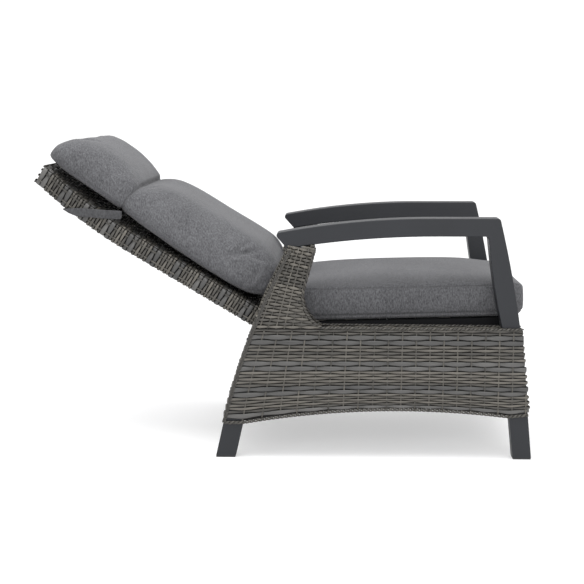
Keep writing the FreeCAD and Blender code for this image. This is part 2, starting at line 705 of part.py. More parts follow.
def make_shaft():
    nose_x, nose_z = spring_point(BUTTON_D, SHAFT_H)
    nose = rod_y(nose_x, nose_z, NOSE_R, -6, 6)
    web = slab(band([(SHAFT_X, SHAFT_Z), (nose_x, nose_z)], 2 * NOSE_R - 0.4), -6, 6)
    return fuse([rod_y(SHAFT_X, SHAFT_Z, SHAFT_R, -22, LEVER_Y0), web, nose])


def make_bearings():
    """Two plastic blocks on the cross tube that carry the lever shaft."""
    top = CROSS_TUBE_Z + CROSS_TUBE_SIZE / 2
    blocks = []
    for y in BEARING_Y:
        end = y + BEARING_LONG
        body = fuse([block(SHAFT_X - BEARING_R, SHAFT_X + BEARING_R, y, end, top, SHAFT_Z),
                     rod_y(SHAFT_X, SHAFT_Z, BEARING_R, y, end)])
        blocks.append(body.cut(rod_y(SHAFT_X, SHAFT_Z, SHAFT_R + RUNNING_GAP, y - 1, end + 1)))
    return Part.makeCompound(blocks)


def make_lever_plate():
    """Cranked steel plate from the shaft up past the seat frame, with a tab over the ledge."""
    points = [(SHAFT_X, SHAFT_Z), (SHAFT_X + 18, 330), (SHAFT_X + 34, 372), (SHAFT_X + 112, 376)]
    plate = slab(band(points, 18), LEVER_Y0, LEVER_Y1)
    eye = rod_y(SHAFT_X, SHAFT_Z, 13, LEVER_Y0, LEVER_Y1)
    tab = block(SHAFT_X + 46, SHAFT_X + 104, LEVER_Y0, 306, 372, 376)
    return fuse([plate, eye, tab])


def make_lever_grip():
    """Moulded grip pushed over the plate's tab."""
    outer = block(SHAFT_X + 40, SHAFT_X + 110, LEVER_Y1 + 4, 314, 366, 383)
    outer = outer.makeFillet(6, outer.Edges)
    return outer.cut(block(SHAFT_X + 46, SHAFT_X + 104, LEVER_Y0, 306, 372, 376))


# Assembly ----------------------------------------------------------------------------------------
def build():
    nodes = {}

    def both_sides(name, shape):
        nodes[name + "_left"] = shape
        nodes[name + "_right"] = mirrored(shape)

    front_screws = arm_screw(FRONT_SCREW_X, LEDGE_Z - SKIN - 18, LEDGE_Z + 12)
    screws = front_screws + arm_screw(REAR_SCREW_X, 552, 590)
    both_sides("front_leg", make_leg(FRONT_LEG).cut(Part.makeCompound(front_screws)))
    both_sides("rear_leg", make_leg(REAR_LEG))
    glides = [make_glide(leg) for leg in (FRONT_LEG, REAR_LEG)]
    nodes["foot_glides"] = Part.makeCompound(glides + [mirrored(g) for g in glides])

    both_sides("arm", make_arm())
    nodes["arm_screws"] = Part.makeCompound(screws + [mirrored(s) for s in screws])

    cross = cross_tube(STRUT_X, CROSS_TUBE_Z, CROSS_TUBE_SIZE, RAIL_Y[0])
    nodes["spring_cross_tube"] = cross
    crossings = [filled_cross_tube(STRUT_X, CROSS_TUBE_Z, CROSS_TUBE_SIZE, RAIL_Y[0])]
    aprons = (("front_apron", FRONT_APRON, FRONT_APRON_TUBE), ("rear_apron", REAR_APRON, REAR_APRON_TUBE))
    for name, corners, size in aprons:
        places = apron_tube_places(corners, size + 3)
        nodes[name + "_rails"] = make_apron_rails(places, size)
        nodes[name + "_weave"] = make_apron_weave(corners, places, size)
        crossings += [filled_cross_tube(x, z, size, LEG_INNER) for x, z in places]

    bolt = make_pivot_bolt()
    cleat_screws = make_cleat_screws()
    leg_solids = [filled_leg(FRONT_LEG), filled_leg(REAR_LEG)]
    fastener_cuts = screws + [bolt, cleat_screws]
    rails = make_side_rails().cut(Part.makeCompound(fastener_cuts))
    both_sides("side_rails", rails)
    both_sides("side_weave", make_side_weave(leg_solids + fastener_cuts + crossings))

    nodes["seat_frame"] = make_seat_frame()
    nodes["seat_webbing"] = make_webbing()
    nodes["seat_cleats"] = make_cleats().cut(cleat_screws)
    nodes["cleat_screws"] = cleat_screws
    nodes["seat_cushion"] = make_seat_cushion()

    nodes["pivot_brackets"] = pair(make_pivot_bracket())
    nodes["pivot_bolts"] = pair(bolt)
    nodes["pivot_bushes"] = pair(make_pivot_bush())
    nodes["pivot_lugs"] = pair(make_lug())

    clevis = make_clevis()
    nodes["back_frame"] = make_back_frame()
    nodes["back_weave"] = make_back_weave(clevis)
    nodes["back_cushion"] = make_back_cushion()
    nodes["back_strap"] = make_strap()
    nodes["spring_clevis"] = clevis
    nodes["spring_rear_pin"] = make_headed_pin(*SPRING_TAIL, PIN_R, EYE_HALF + 5.5)

    nodes["spring_bracket"] = make_anchor_bracket()
    nodes["spring_front_pin"] = make_headed_pin(*SPRING_ANCHOR, ANCHOR_PIN_R, HEAD_HALF + 3.5)
    nodes["release_head"] = make_release_head()
    nodes["release_button"] = make_button()
    nodes["gas_spring_rod"] = make_rod()
    nodes["gas_spring_cylinder"] = make_cylinder()
    nodes["gas_spring_eye"] = make_cylinder_eye()

    nodes["lever_shaft"] = make_shaft()
    nodes["lever_bearings"] = make_bearings()
    nodes["lever_plate"] = make_lever_plate()
    nodes["lever_grip"] = make_lever_grip()
    return nodes


def main():
    nodes = build()
    os.makedirs("parts", exist_ok=True)
    box = FreeCAD.BoundBox()
    for name, shape in sorted(nodes.items()):
        bounds = shape.BoundBox
        box.add(bounds)
        kind = "solid" if shape.isValid() and shape.Volume > 0 else "BROKEN"
        print(f"{name:22s} {kind} solids {len(shape.Solids)} volume {shape.Volume / 1000:9.1f} cm3")
        shape.exportStep(f"parts/{name}.step")
    print("box", [round(v, 2) for v in (box.XMin, box.XMax, box.YMin, box.YMax, box.ZMin, box.ZMax)])
    print("spring pivots", SPRING_ANCHOR, [round(v, 3) for v in SPRING_TAIL])
    print("spring length", round(SPRING_LENGTH, 3))
    print("lever shaft", round(SHAFT_X, 3), round(SHAFT_Z, 3))


main()
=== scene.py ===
"""Reclining garden armchair: woven sides and back over cores painted near-black as shade,
cloth-simulated cushions, and procedural finishes on the CAD metalwork. Metres, in the CAD's own frame."""
import bpy
import json
import math
import numpy as np
from mathutils import Vector, Matrix


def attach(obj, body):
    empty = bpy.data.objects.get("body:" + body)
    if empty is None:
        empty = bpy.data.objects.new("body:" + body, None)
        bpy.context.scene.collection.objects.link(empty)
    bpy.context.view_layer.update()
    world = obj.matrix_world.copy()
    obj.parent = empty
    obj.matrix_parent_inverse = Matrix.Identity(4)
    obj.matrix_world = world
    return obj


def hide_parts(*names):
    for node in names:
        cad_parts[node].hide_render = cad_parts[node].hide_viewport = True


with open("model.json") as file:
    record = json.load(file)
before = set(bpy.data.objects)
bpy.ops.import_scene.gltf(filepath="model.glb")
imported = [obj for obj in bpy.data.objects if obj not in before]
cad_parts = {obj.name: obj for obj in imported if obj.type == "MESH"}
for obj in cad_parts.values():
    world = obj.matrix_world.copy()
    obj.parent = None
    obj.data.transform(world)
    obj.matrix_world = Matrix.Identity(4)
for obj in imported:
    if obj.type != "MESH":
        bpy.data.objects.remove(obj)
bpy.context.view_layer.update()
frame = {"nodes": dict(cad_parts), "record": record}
nodes = frame["nodes"]
rng = np.random.default_rng(7)


# Materials ---------------------------------------------------------------------------------------
class Nodes:
    """A material's node tree with short calls for adding nodes and links."""

    def __init__(self, name):
        self.material = bpy.data.materials.new(name)
        self.material.use_nodes = True
        self.tree = self.material.node_tree
        self.shader = self.tree.nodes["Principled BSDF"]

    def add(self, kind, links=(), **values):
        node = self.tree.nodes.new(kind)
        for key, value in values.items():
            if hasattr(node, key):
                setattr(node, key, value)
            else:
                node.inputs[key.replace("_", " ")].default_value = value
        for socket, source in dict(links).items():
            self.tree.links.new(source, node.inputs[socket])
        return node

    def set(self, **values):
        for key, value in values.items():
            self.shader.inputs[key.replace("_", " ")].default_value = value

    def link(self, source, socket):
        self.tree.links.new(source, self.shader.inputs[socket])

    def noise(self, vector, scale, detail=3.0, roughness=0.5):
        return self.add("ShaderNodeTexNoise", {"Vector": vector}, Scale=scale, Detail=detail,
                        Roughness=roughness).outputs["Fac"]

    def ramp(self, fac, stops):
        node = self.add("ShaderNodeValToRGB", {"Fac": fac})
        while len(node.color_ramp.elements) < len(stops):
            node.color_ramp.elements.new(0.5)
        for element, (place, colour) in zip(node.color_ramp.elements, stops):
            element.position = place
            element.color = (*colour, 1)
        return node.outputs["Color"]

    def mix(self, fac, a, b, mode="MIX"):
        node = self.add("ShaderNodeMix", data_type="RGBA", blend_type=mode)
        for socket, value in ((node.inputs[0], fac), (node.inputs[6], a), (node.inputs[7], b)):
            if isinstance(value, (int, float)):
                socket.default_value = value
            elif isinstance(value, tuple):
                socket.default_value = (*value, 1)
            else:
                self.tree.links.new(value, socket)
        return node.outputs[2]

    def maths(self, operation, *values):
        node = self.add("ShaderNodeMath", operation=operation)
        for socket, value in zip(node.inputs, values):
            if isinstance(value, (int, float)):
                socket.default_value = value
            else:
                self.tree.links.new(value, socket)
        return node.outputs[0]

    def scaled(self, vector, scale):
        return self.add("ShaderNodeMapping", {"Vector": vector}, Scale=scale).outputs[0]

    def place(self):
        return self.add("ShaderNodeTexCoord").outputs["Object"]

    def attribute(self, name):
        return self.add("ShaderNodeAttribute", attribute_name=name).outputs["Fac"]

    def bump(self, height, strength, distance):
        node = self.add("ShaderNodeBump", {"Height": height}, Strength=strength, Distance=distance)
        self.link(node.outputs[0], "Normal")


def strand_material(name, dark, middle, light, roughness):
    """Resin strand: streaks along its length, and a tone of its own for each strand."""
    m = Nodes(name)
    uv = m.add("ShaderNodeUVMap", uv_map="strand").outputs[0]
    streaks = m.noise(m.scaled(uv, (14, 900, 1)), 1.0, 4.0, 0.6)
    patches = m.noise(m.scaled(uv, (9, 30, 1)), 1.0, 2.0)
    tone = m.attribute("tone")
    mixed = m.maths("ADD", m.maths("MULTIPLY", streaks, 0.50), m.maths("MULTIPLY", patches, 0.32))
    mixed = m.maths("ADD", mixed, m.maths("MULTIPLY", tone, 0.22))
    m.link(m.ramp(mixed, [(0.30, dark), (0.52, middle), (0.78, light)]), "Base Color")
    m.link(m.maths("ADD", m.maths("MULTIPLY", streaks, 0.22), roughness), "Roughness")
    m.set(Specular_IOR_Level=0.5)
    m.bump(streaks, 0.35, 0.0004)
    return m.material


# Core sheet inside the weave: its near-black colour is painted shade for the hollow seen through the gaps
# between strands.
def core_shade_material():
    m = Nodes("weave_core_painted_shade")
    noise = m.noise(m.place(), 220.0)
    m.link(m.ramp(noise, [(0.3, (0.004, 0.004, 0.004)), (0.7, (0.014, 0.013, 0.012))]), "Base Color")
    m.set(Roughness=0.9)
    m.bump(noise, 0.5, 0.001)
    return m.material


def fabric_material(name, dark, light):
    """Melange cloth: speckled yarns, a fine plain weave, and painted shade along the sewn seams."""
    threads, relief = 1500.0, 0.0009
    m = Nodes(name)
    place = m.place()
    fine = m.noise(place, 900.0, 2.0, 0.7)
    speck = m.noise(m.scaled(place, (1, 1, 0.45)), 330.0, 3.0, 0.65)
    broad = m.noise(place, 9.0, 3.0)
    level = m.maths("ADD", m.maths("MULTIPLY", speck, 0.62), m.maths("MULTIPLY", fine, 0.30))
    level = m.maths("ADD", level, m.maths("MULTIPLY", broad, 0.10))
    colour = m.ramp(level, [(0.36, dark), (0.66, light)])
    # The seam mask darkens the cloth towards a dark grey: painted shade in the seam grooves.
    seam = m.attribute("seam")
    m.link(m.mix(m.maths("MULTIPLY", seam, 0.62), colour, (0.06, 0.06, 0.062)), "Base Color")
    waves = [m.add("ShaderNodeTexWave", {"Vector": place}, bands_direction=axis, Scale=threads / 6.28,
                   Distortion=1.5, Detail=1.0).outputs["Fac"] for axis in ("X", "Y", "Z")]
    cloth = m.maths("ADD", m.maths("MULTIPLY", m.maths("ADD", waves[0], waves[1]), 0.5), waves[2])
    m.bump(m.maths("ADD", cloth, m.maths("MULTIPLY", speck, 1.5)), 0.30, relief)
    m.set(Roughness=0.92, Sheen_Weight=0.12, Sheen_Roughness=0.5, Specular_IOR_Level=0.2)
    return m.material


def coat_material(name, colour, roughness, grain=1100.0, strength=0.12, gloss=0.5):
    """Powder coat or moulded plastic: a fine pebbled skin with slow changes of tone and gloss."""
    m = Nodes(name)
    place = m.place()
    pebble = m.noise(place, grain, 2.0)
    slow = m.noise(place, 7.0, 4.0)
    low = tuple(c * 0.86 for c in colour)
    high = tuple(min(c * 1.14, 1.0) for c in colour)
    m.link(m.ramp(m.maths("ADD", m.maths("MULTIPLY", slow, 0.7), m.maths("MULTIPLY", pebble, 0.3)),
                  [(0.3, low), (0.7, high)]), "Base Color")
    m.link(m.maths("ADD", m.maths("MULTIPLY", slow, 0.12), roughness), "Roughness")
    m.set(Specular_IOR_Level=gloss)
    m.bump(pebble, strength, 0.0003)
    return m.material


def metal_material(name, colour, roughness, stretch=(1, 1, 1)):
    """Bare or plated metal with fine scratches along one direction."""
    m = Nodes(name)
    brushed = m.noise(m.scaled(m.place(), stretch), 400.0, 4.0, 0.7)
    low = tuple(c * 0.8 for c in colour)
    m.link(m.ramp(brushed, [(0.3, low), (0.7, colour)]), "Base Color")
    m.link(m.maths("ADD", m.maths("MULTIPLY", brushed, 0.2), roughness), "Roughness")
    m.set(Metallic=1.0)
    m.bump(brushed, 0.08, 0.0002)
    return m.material


def webbing_material():
    m = Nodes("webbing_black")
    wave = m.add("ShaderNodeTexWave", {"Vector": m.place()}, bands_direction="Y", Scale=90.0,
                 Distortion=0.6).outputs["Fac"]
    m.link(m.ramp(wave, [(0.2, (0.003, 0.003, 0.003)), (0.9, (0.012, 0.012, 0.013))]), "Base Color")
    m.set(Roughness=0.9, Specular_IOR_Level=0.15)
    m.bump(wave, 0.5, 0.0006)
    return m.material


NARROW_STRAND = strand_material("strand_narrow", (0.016, 0.015, 0.013), (0.066, 0.061, 0.052),
                                (0.160, 0.146, 0.124), 0.34)
WIDE_STRAND = strand_material("strand_wide", (0.022, 0.022, 0.022), (0.060, 0.059, 0.057),
                              (0.120, 0.116, 0.110), 0.28)
# Edgings and flat stakes: a darker strand whose extra darkness is painted shade for cords and stakes that
# sit in shade.
EDGE_STRAND_SHADED = strand_material("strand_edge_shaded", (0.012, 0.011, 0.010), (0.040, 0.037, 0.032),
                              (0.095, 0.087, 0.075), 0.38)
CORE_SHADE = core_shade_material()
WEAVE_MATERIALS = [NARROW_STRAND, WIDE_STRAND, EDGE_STRAND_SHADED, CORE_SHADE]
NARROW_SLOT, WIDE_SLOT, EDGE_SLOT, CORE_SHADE_SLOT = range(4)
CUSHION = fabric_material("cushion_fabric", (0.036, 0.036, 0.039), (0.146, 0.147, 0.155))
STRAP = fabric_material("strap_fabric", (0.030, 0.030, 0.032), (0.085, 0.086, 0.090))
ANTHRACITE = coat_material("anthracite_powder_coat", (0.0135, 0.0148, 0.018), 0.42, gloss=0.35)
# Seat frame tubes: black paint, darkened further as painted shade where they show under the seat cushion.
TUBE_PAINT_AND_SHADE = coat_material("frame_paint_and_shade", (0.006, 0.006, 0.007), 0.75, gloss=0.15)
BLACK_ENAMEL = coat_material("black_enamel", (0.012, 0.012, 0.013), 0.22, grain=500.0, strength=0.04)
BLACK_PLASTIC = coat_material("black_plastic", (0.018, 0.018, 0.019), 0.48, grain=1600.0, strength=0.2)
ZINC = metal_material("zinc_plated_steel", (0.56, 0.57, 0.58), 0.28, (1, 6, 1))
CHROME = metal_material("chrome", (0.78, 0.79, 0.80), 0.06, (6, 1, 1))
WEBBING = webbing_material()

SLOT_MATERIALS = {
    "weave": NARROW_STRAND, "powder_coat": ANTHRACITE, "frame_tube": TUBE_PAINT_AND_SHADE,
    "cushion_fabric": CUSHION, "strap_webbing": STRAP, "seat_webbing": WEBBING, "steel": ZINC,
    "chrome_rod": CHROME, "black_enamel": BLACK_ENAMEL, "black_plastic": BLACK_PLASTIC,
}
for part in frame["record"]["subparts"]:
    mesh = nodes[part["node"]].data
    mesh.materials.clear()
    mesh.materials.append(SLOT_MATERIALS[part["material_slot"]])


# Strands -----------------------------------------------------------------------------------------
PITCH = 0.037               # stake to stake
STEP = PITCH / 6
NARROW, WIDE = 0.00885, 0.0143
SWING = 0.0025              # how far a strand stands off the mid-plane as it passes a stake
STAKE = (0.0040, 0.0030)    # width and thickness of the stakes that show between the rows
FLAT_STAKE = (0.0042, 0.0022)
STAKE_STEP = 0.012          # between points along a stake
PATH_STEP = 0.003           # between points along an edging
TWIST = 0.024               # length of one full turn of an edging cord
SECTION = np.array([(-1, 0), (-0.62, 0.8), (0.62, 0.8), (1, 0), (0.62, -0.8), (-0.62, -0.8)])


class Weave:
    """Collects ribbons and plates into one mesh."""

    def __init__(self):
        self.points, self.faces, self.slots, self.uvs, self.tones = [], [], [], [], []
        self.count = 0

    def ribbon(self, centre, normal, width, thick, slot):
        """A flat strand along the centre points; normal is its flat side's direction at each."""
        centre, normal = np.asarray(centre, float), np.asarray(normal, float)
        n = len(centre)
        if n < 3:
            return
        width = np.broadcast_to(width, n)
        tangent = np.gradient(centre, axis=0)
        tangent /= np.linalg.norm(tangent, axis=1)[:, None]
        across = np.cross(normal, tangent)
        across /= np.linalg.norm(across, axis=1)[:, None]
        up = np.cross(tangent, across)
        k = len(SECTION)
        ring = (centre[:, None, :] + across[:, None, :] * (SECTION[None, :, :1] * width[:, None, None] / 2)
                + up[:, None, :] * (SECTION[None, :, 1:] * thick / 2))
        self.points.append(ring.reshape(-1, 3))
        along = np.concatenate([[0], np.cumsum(np.linalg.norm(np.diff(centre, axis=0), axis=1))])
        along += rng.random() * 40
        shift = rng.random() * 9
        i, j = np.meshgrid(np.arange(n - 1), np.arange(k), indexing="ij")
        i, j = i.ravel(), j.ravel()
        right = (j + 1) % k
        base = self.count
        quads = np.stack([base + i * k + j, base + i * k + right, base + (i + 1) * k + right,
                          base + (i + 1) * k + j], 1)
        self.faces += quads.tolist()
        self.faces += [[base + c for c in range(k)][::-1], [base + (n - 1) * k + c for c in range(k)]]
        side = np.array([0.0, 0.2, 0.8, 1.0, 0.8, 0.2])
        v0, v1 = side[j] * 0.01 + shift, side[right] * 0.01 + shift
        uv = np.stack([along[i], v0, along[i], v1, along[i + 1], v1, along[i + 1], v0], 1)
        self.uvs += [uv.reshape(-1, 2), np.zeros((2 * k, 2))]
        self.slots += [slot] * (len(quads) + 2)
        self.tones.append(np.full(n * k, rng.random()))
        self.count += n * k

    def plate(self, outline, low, high, slot=CORE_SHADE_SLOT):
        """A prism: an outline of XZ points between two Y values."""
        outline = [tuple(p) for p in outline]
        k = len(outline)
        points = [(x, y, z) for y in (low, high) for x, z in outline]
        base = self.count
        self.points.append(np.array(points))
        faces = [[base + c for c in range(k)], [base + k + c for c in range(k)][::-1]]
        faces += [[base + c, base + k + c, base + k + (c + 1) % k, base + (c + 1) % k] for c in range(k)]
        self.faces += faces
        self.slots += [slot] * len(faces)
        self.uvs.append(np.zeros((sum(len(f) for f in faces), 2)))
        self.tones.append(np.full(2 * k, 0.5))
        self.count += 2 * k

    def make(self, name, mirror=False):
        points = np.concatenate(self.points)
        faces = self.faces
        uvs = np.concatenate(self.uvs)
        if mirror:
            points = points * (1, -1, 1)
        mesh = bpy.data.meshes.new(name)
        mesh.from_pydata(points.tolist(), [], faces)
        layer = mesh.uv_layers.new(name="strand")
        layer.data.foreach_set("uv", uvs.astype(np.float32).ravel())
        tone = mesh.attributes.new("tone", "FLOAT", "POINT")
        tone.data.foreach_set("value", np.concatenate(self.tones).astype(np.float32))
        for material in WEAVE_MATERIALS:
            mesh.materials.append(material)
        mesh.polygons.foreach_set("material_index", np.array(self.slots, np.int32))
        if mirror:
            mesh.flip_normals()
        mesh.update()
        smooth = np.array(self.slots) != CORE_SHADE_SLOT
        mesh.polygons.foreach_set("use_smooth", smooth)
        piece = bpy.data.objects.new(name, mesh)
        bpy.context.scene.collection.objects.link(piece)
        return piece


def woven(weave, centre, normal, phase, parity, width, squeeze=1.0):
    """One strand that passes over and under the stakes; phase counts half waves, one per stake.

    It fills a share of its row's width, so that dark gaps show, and is fuller where it passes over.
    """
    wave = np.cos(math.pi * (np.asarray(phase) + parity))
    centre = np.asarray(centre, float) + np.asarray(normal, float) * (wave * SWING)[:, None]
    wide = width > (NARROW + WIDE) / 2
    share, fuller, thick = (0.88 if wide else 0.76), 0.10, 0.0020
    weave.ribbon(centre, normal, width * squeeze * share * (1 + fuller * wave), thick,
                 WIDE_SLOT if wide else NARROW_SLOT)


def banded_rows(top, bottom):
    """(middle, width) of the rows from the top down: two wide, then five narrow, and so on."""
    rows, level = [], top
    pattern = [WIDE] * 2 + [NARROW] * 5
    while True:
        width = pattern[len(rows) % len(pattern)]
        if level - width < bottom:
            return rows
        rows.append((level - width / 2, width))
        level -= width


def braid(weave, path, normal, spread, size, length):
    """Three flat strands plaited along a path of evenly spaced points."""
    path, normal = np.asarray(path, float), np.asarray(normal, float)
    tangent = np.gradient(path, axis=0)
    tangent /= np.linalg.norm(tangent, axis=1)[:, None]
    across = np.cross(normal, tangent)
    run = np.concatenate([[0], np.cumsum(np.linalg.norm(np.diff(path, axis=0), axis=1))])
    for strand in range(3):
        turn = 2 * math.pi * (run / length + strand / 3)
        centre = (path + across * (np.sin(turn) * spread)[:, None]
                  + normal * (np.sin(2 * turn) * 0.0011 + 0.0004)[:, None])
        weave.ribbon(centre, normal, size, 0.0018, EDGE_SLOT)


def cord(weave, path, normal, radius, length):
    """Two thin strands twisted round each other along a path."""
    path, normal = np.asarray(path, float), np.asarray(normal, float)
    tangent = np.gradient(path, axis=0)
    tangent /= np.linalg.norm(tangent, axis=1)[:, None]
    across = np.cross(normal, tangent)
    run = np.concatenate([[0], np.cumsum(np.linalg.norm(np.diff(path, axis=0), axis=1))])
    for strand in range(2):
        turn = 2 * math.pi * (run / length + strand / 2)
        out = across * np.cos(turn)[:, None] + normal * np.sin(turn)[:, None]
        weave.ribbon(path + out * radius, out, radius * 2.1, radius * 1.3, EDGE_SLOT)


def spaced(points, step):
    """Points evenly spaced along a run of straight stretches."""
    points = np.asarray(points, float)
    run = np.concatenate([[0], np.cumsum(np.linalg.norm(np.diff(points, axis=0), axis=1))])
    at = np.linspace(0, run[-1], max(int(run[-1] / step), 3) + 1)
    return np.stack([np.interp(at, run, points[:, c]) for c in range(points.shape[1])], 1)


def three_point(a, b, c):
    """Centre and radius of the circle through three XZ points."""
    (ax, az), (bx, bz), (cx, cz) = a, b, c
    d = 2 * (ax * (bz - cz) + bx * (cz - az) + cx * (az - bz))
    sa, sb, sc = ax * ax + az * az, bx * bx + bz * bz, cx * cx + cz * cz
    x = (sa * (bz - cz) + sb * (cz - az) + sc * (az - bz)) / d
    z = (sa * (cx - bx) + sb * (ax - cx) + sc * (bx - ax)) / d
    return x, z, math.hypot(ax - x, az - z)


# Woven sides -------------------------------------------------------------------------------------
LEDGE = 0.357
SIDE_IN, SIDE_OUT = 0.282, 0.340
SIDE_TOP, SIDE_BOTTOM = 0.574, 0.094
DEPTH = 0.0027              # mid-plane of the weave below the face
REAR_ARC = three_point((-0.166, 0.094), (-0.087, 0.345), (0.017, 0.572))
CROOK_ARC = three_point((0.0615, 0.468), (0.064, 0.411), (0.116, LEDGE))
BOTTOM_ARC = three_point((-0.106, 0.094), (0.260, 0.132), (0.612, 0.115))
BAND_TOP = 0.3406
LEAN_FADE = 0.136
UPRIGHT_PITCH = PITCH * 0.6     # stakes stand closer in the upright, above the ledge
UPRIGHT_ROW = 0.0084            # between rows in the upright
UPRIGHT_SLOPE, SLOPE_START = 0.21, 0.09     # the rows' slope, and the height over which it sets in


def rear_x(z):
    x, zc, r = REAR_ARC
    return x + math.copysign(math.sqrt(max(r * r - (z - zc) ** 2, 0)), -0.087 - x)


def front_x(z):
    if z <= LEDGE:
        return 0.670 + (0.647 - 0.670) * (z - 0.121) / (LEDGE - 0.121)
    if z >= 0.468:
        return 0.0615 + (0.093 - 0.0615) * (z - 0.468) / (0.581 - 0.468)
    x, zc, r = CROOK_ARC
    return x - math.sqrt(max(r * r - (z - zc) ** 2, 0))


def bottom_z(x):
    if x < -0.106:
        return SIDE_BOTTOM
    if x > 0.612:
        return 0.115 + 0.006 * (x - 0.612) / 0.058
    xc, zc, r = BOTTOM_ARC
    return zc + math.sqrt(max(r * r - (x - xc) ** 2, 0))


REAR_AT_LEDGE = rear_x(LEDGE)


def stake_x(s, z):
    """X of the place s along a row, counted from the rear edge; a stake stays at one s."""
    return REAR_AT_LEDGE + s + (rear_x(z) - REAR_AT_LEDGE) * math.exp(-s / LEAN_FADE)


def row_z(level, x):
    """Rows follow the arched bottom edge, less and less towards the ledge, and slope in the upright."""
    if level > LEDGE:
        slope = UPRIGHT_SLOPE * min((level - LEDGE) / SLOPE_START, 1)
        return level - slope * (x - (rear_x(level) + front_x(level)) / 2)
    share = (LEDGE - level) / (LEDGE - SIDE_BOTTOM)
    return level + (bottom_z(x) - SIDE_BOTTOM) * share ** 3


def row_squeeze(level, x):
    """How much closer the rows lie at a place than they would with no arch below them."""
    if level > LEDGE:
        return 1.0
    high = LEDGE - SIDE_BOTTOM
    return 1 - 3 * (bottom_z(x) - SIDE_BOTTOM) * ((LEDGE - level) / high) ** 2 / high


def capped_rows(weave, width, parity):
    """Rows just under the arm, which slope up into it, on the two faces only."""
    first, last, longest, edge = SIDE_TOP + 0.004, SIDE_TOP + 0.020, 0.15, 0.006
    run = [s for s in np.arange(edge, longest, STEP / 2)
           if stake_x(s, SIDE_TOP) < front_x(SIDE_TOP) - 0.002]
    places = [(stake_x(s, SIDE_TOP), s / UPRIGHT_PITCH) for s in run]
    level = first
    while level < last:
        spots = [(x, phase, row_z(SIDE_TOP, x) + level - SIDE_TOP) for x, phase in places]
        spots = [spot for spot in spots if spot[2] < arm_under(spot[0]) - 0.001]
        for y, ny in ((SIDE_OUT - DEPTH, 1), (SIDE_IN + DEPTH, -1)):
            woven(weave, [(x, y, z) for x, _, z in spots], [(0, ny, 0)] * len(spots),
                  [phase for _, phase, _ in spots], parity, width)
        parity = 1 - parity
        level += UPRIGHT_ROW


def arm_under(x):
    """Height of the arm's lower face above the upright."""
    tip_x, tip_z, slope = 0.014, 0.573, 0.158
    return tip_z + (x - tip_x) * slope


def side_row(weave, level, width, parity):
    """One strand all the way round the side: inner face, front edge, outer face, rear edge."""
    end = front_x(level)
    pitch = UPRIGHT_PITCH if level > LEDGE else PITCH
    corner, bevel, longest = 0.004, 0.001, 0.80
    run = np.arange(0, longest, pitch / 6)
    run = run[[stake_x(s, level) < end - corner for s in run]]
    face = [(stake_x(s, level), s / pitch) for s in run]
    last = (end, face[-1][1] + (end - face[-1][0]) / pitch)
    face.append(last)
    low, high = SIDE_IN + DEPTH, SIDE_OUT - DEPTH
    points, normals, phases = [], [], []

    def put(x, y, nx, ny, phase):
        size = math.hypot(nx, ny)
        points.append((x, y, row_z(level, x)))
        normals.append((nx / size, ny / size, 0))
        phases.append(phase)

    for x, phase in face[1:-1]:
        put(x, low, 0, -1, phase)
    put(end - DEPTH - bevel, low + bevel, 1, -1, last[1])
    across = np.linspace(low + corner, high - corner, 8)
    for y in across:
        put(end - DEPTH, y, 1, 0, last[1] + 2 * (y - low) / (high - low))
    put(end - DEPTH - bevel, high - bevel, 1, 1, last[1] + 2)
    for x, phase in face[1:-1][::-1]:
        put(x, high, 0, 1, phase + 2)
    rear = face[0][0] + DEPTH
    put(rear + bevel, high - bevel, -1, 1, 2)
    for y in across[::-1]:
        put(rear, y, -1, 0, 2 * (y - low) / (high - low))
    put(rear + bevel, low + bevel, -1, -1, 0)
    squeeze = [row_squeeze(level, x) for x, _, _ in points]
    woven(weave, points, normals, phases, parity, width, np.array(squeeze))


def side_outline(inset):
    """XZ points round the side, moved inwards."""
    zs = np.linspace(SIDE_BOTTOM, SIDE_TOP, 25)
    rear = [(rear_x(z), z) for z in zs]
    front = [(front_x(z), z) for z in np.linspace(SIDE_TOP, LEDGE + 0.0005, 18)]
    xs = np.linspace(0.66, -0.12, 30)
    bottom = [(x, bottom_z(x)) for x in xs]
    ring = rear + front + [(0.647, LEDGE), (0.669, 0.121)] + bottom
    ring = np.array(ring)
    before, after = np.roll(ring, 1, 0), np.roll(ring, -1, 0)
    run = after - before
    run /= np.linalg.norm(run, axis=1)[:, None]
    return ring + np.stack([run[:, 1], -run[:, 0]], 1) * inset


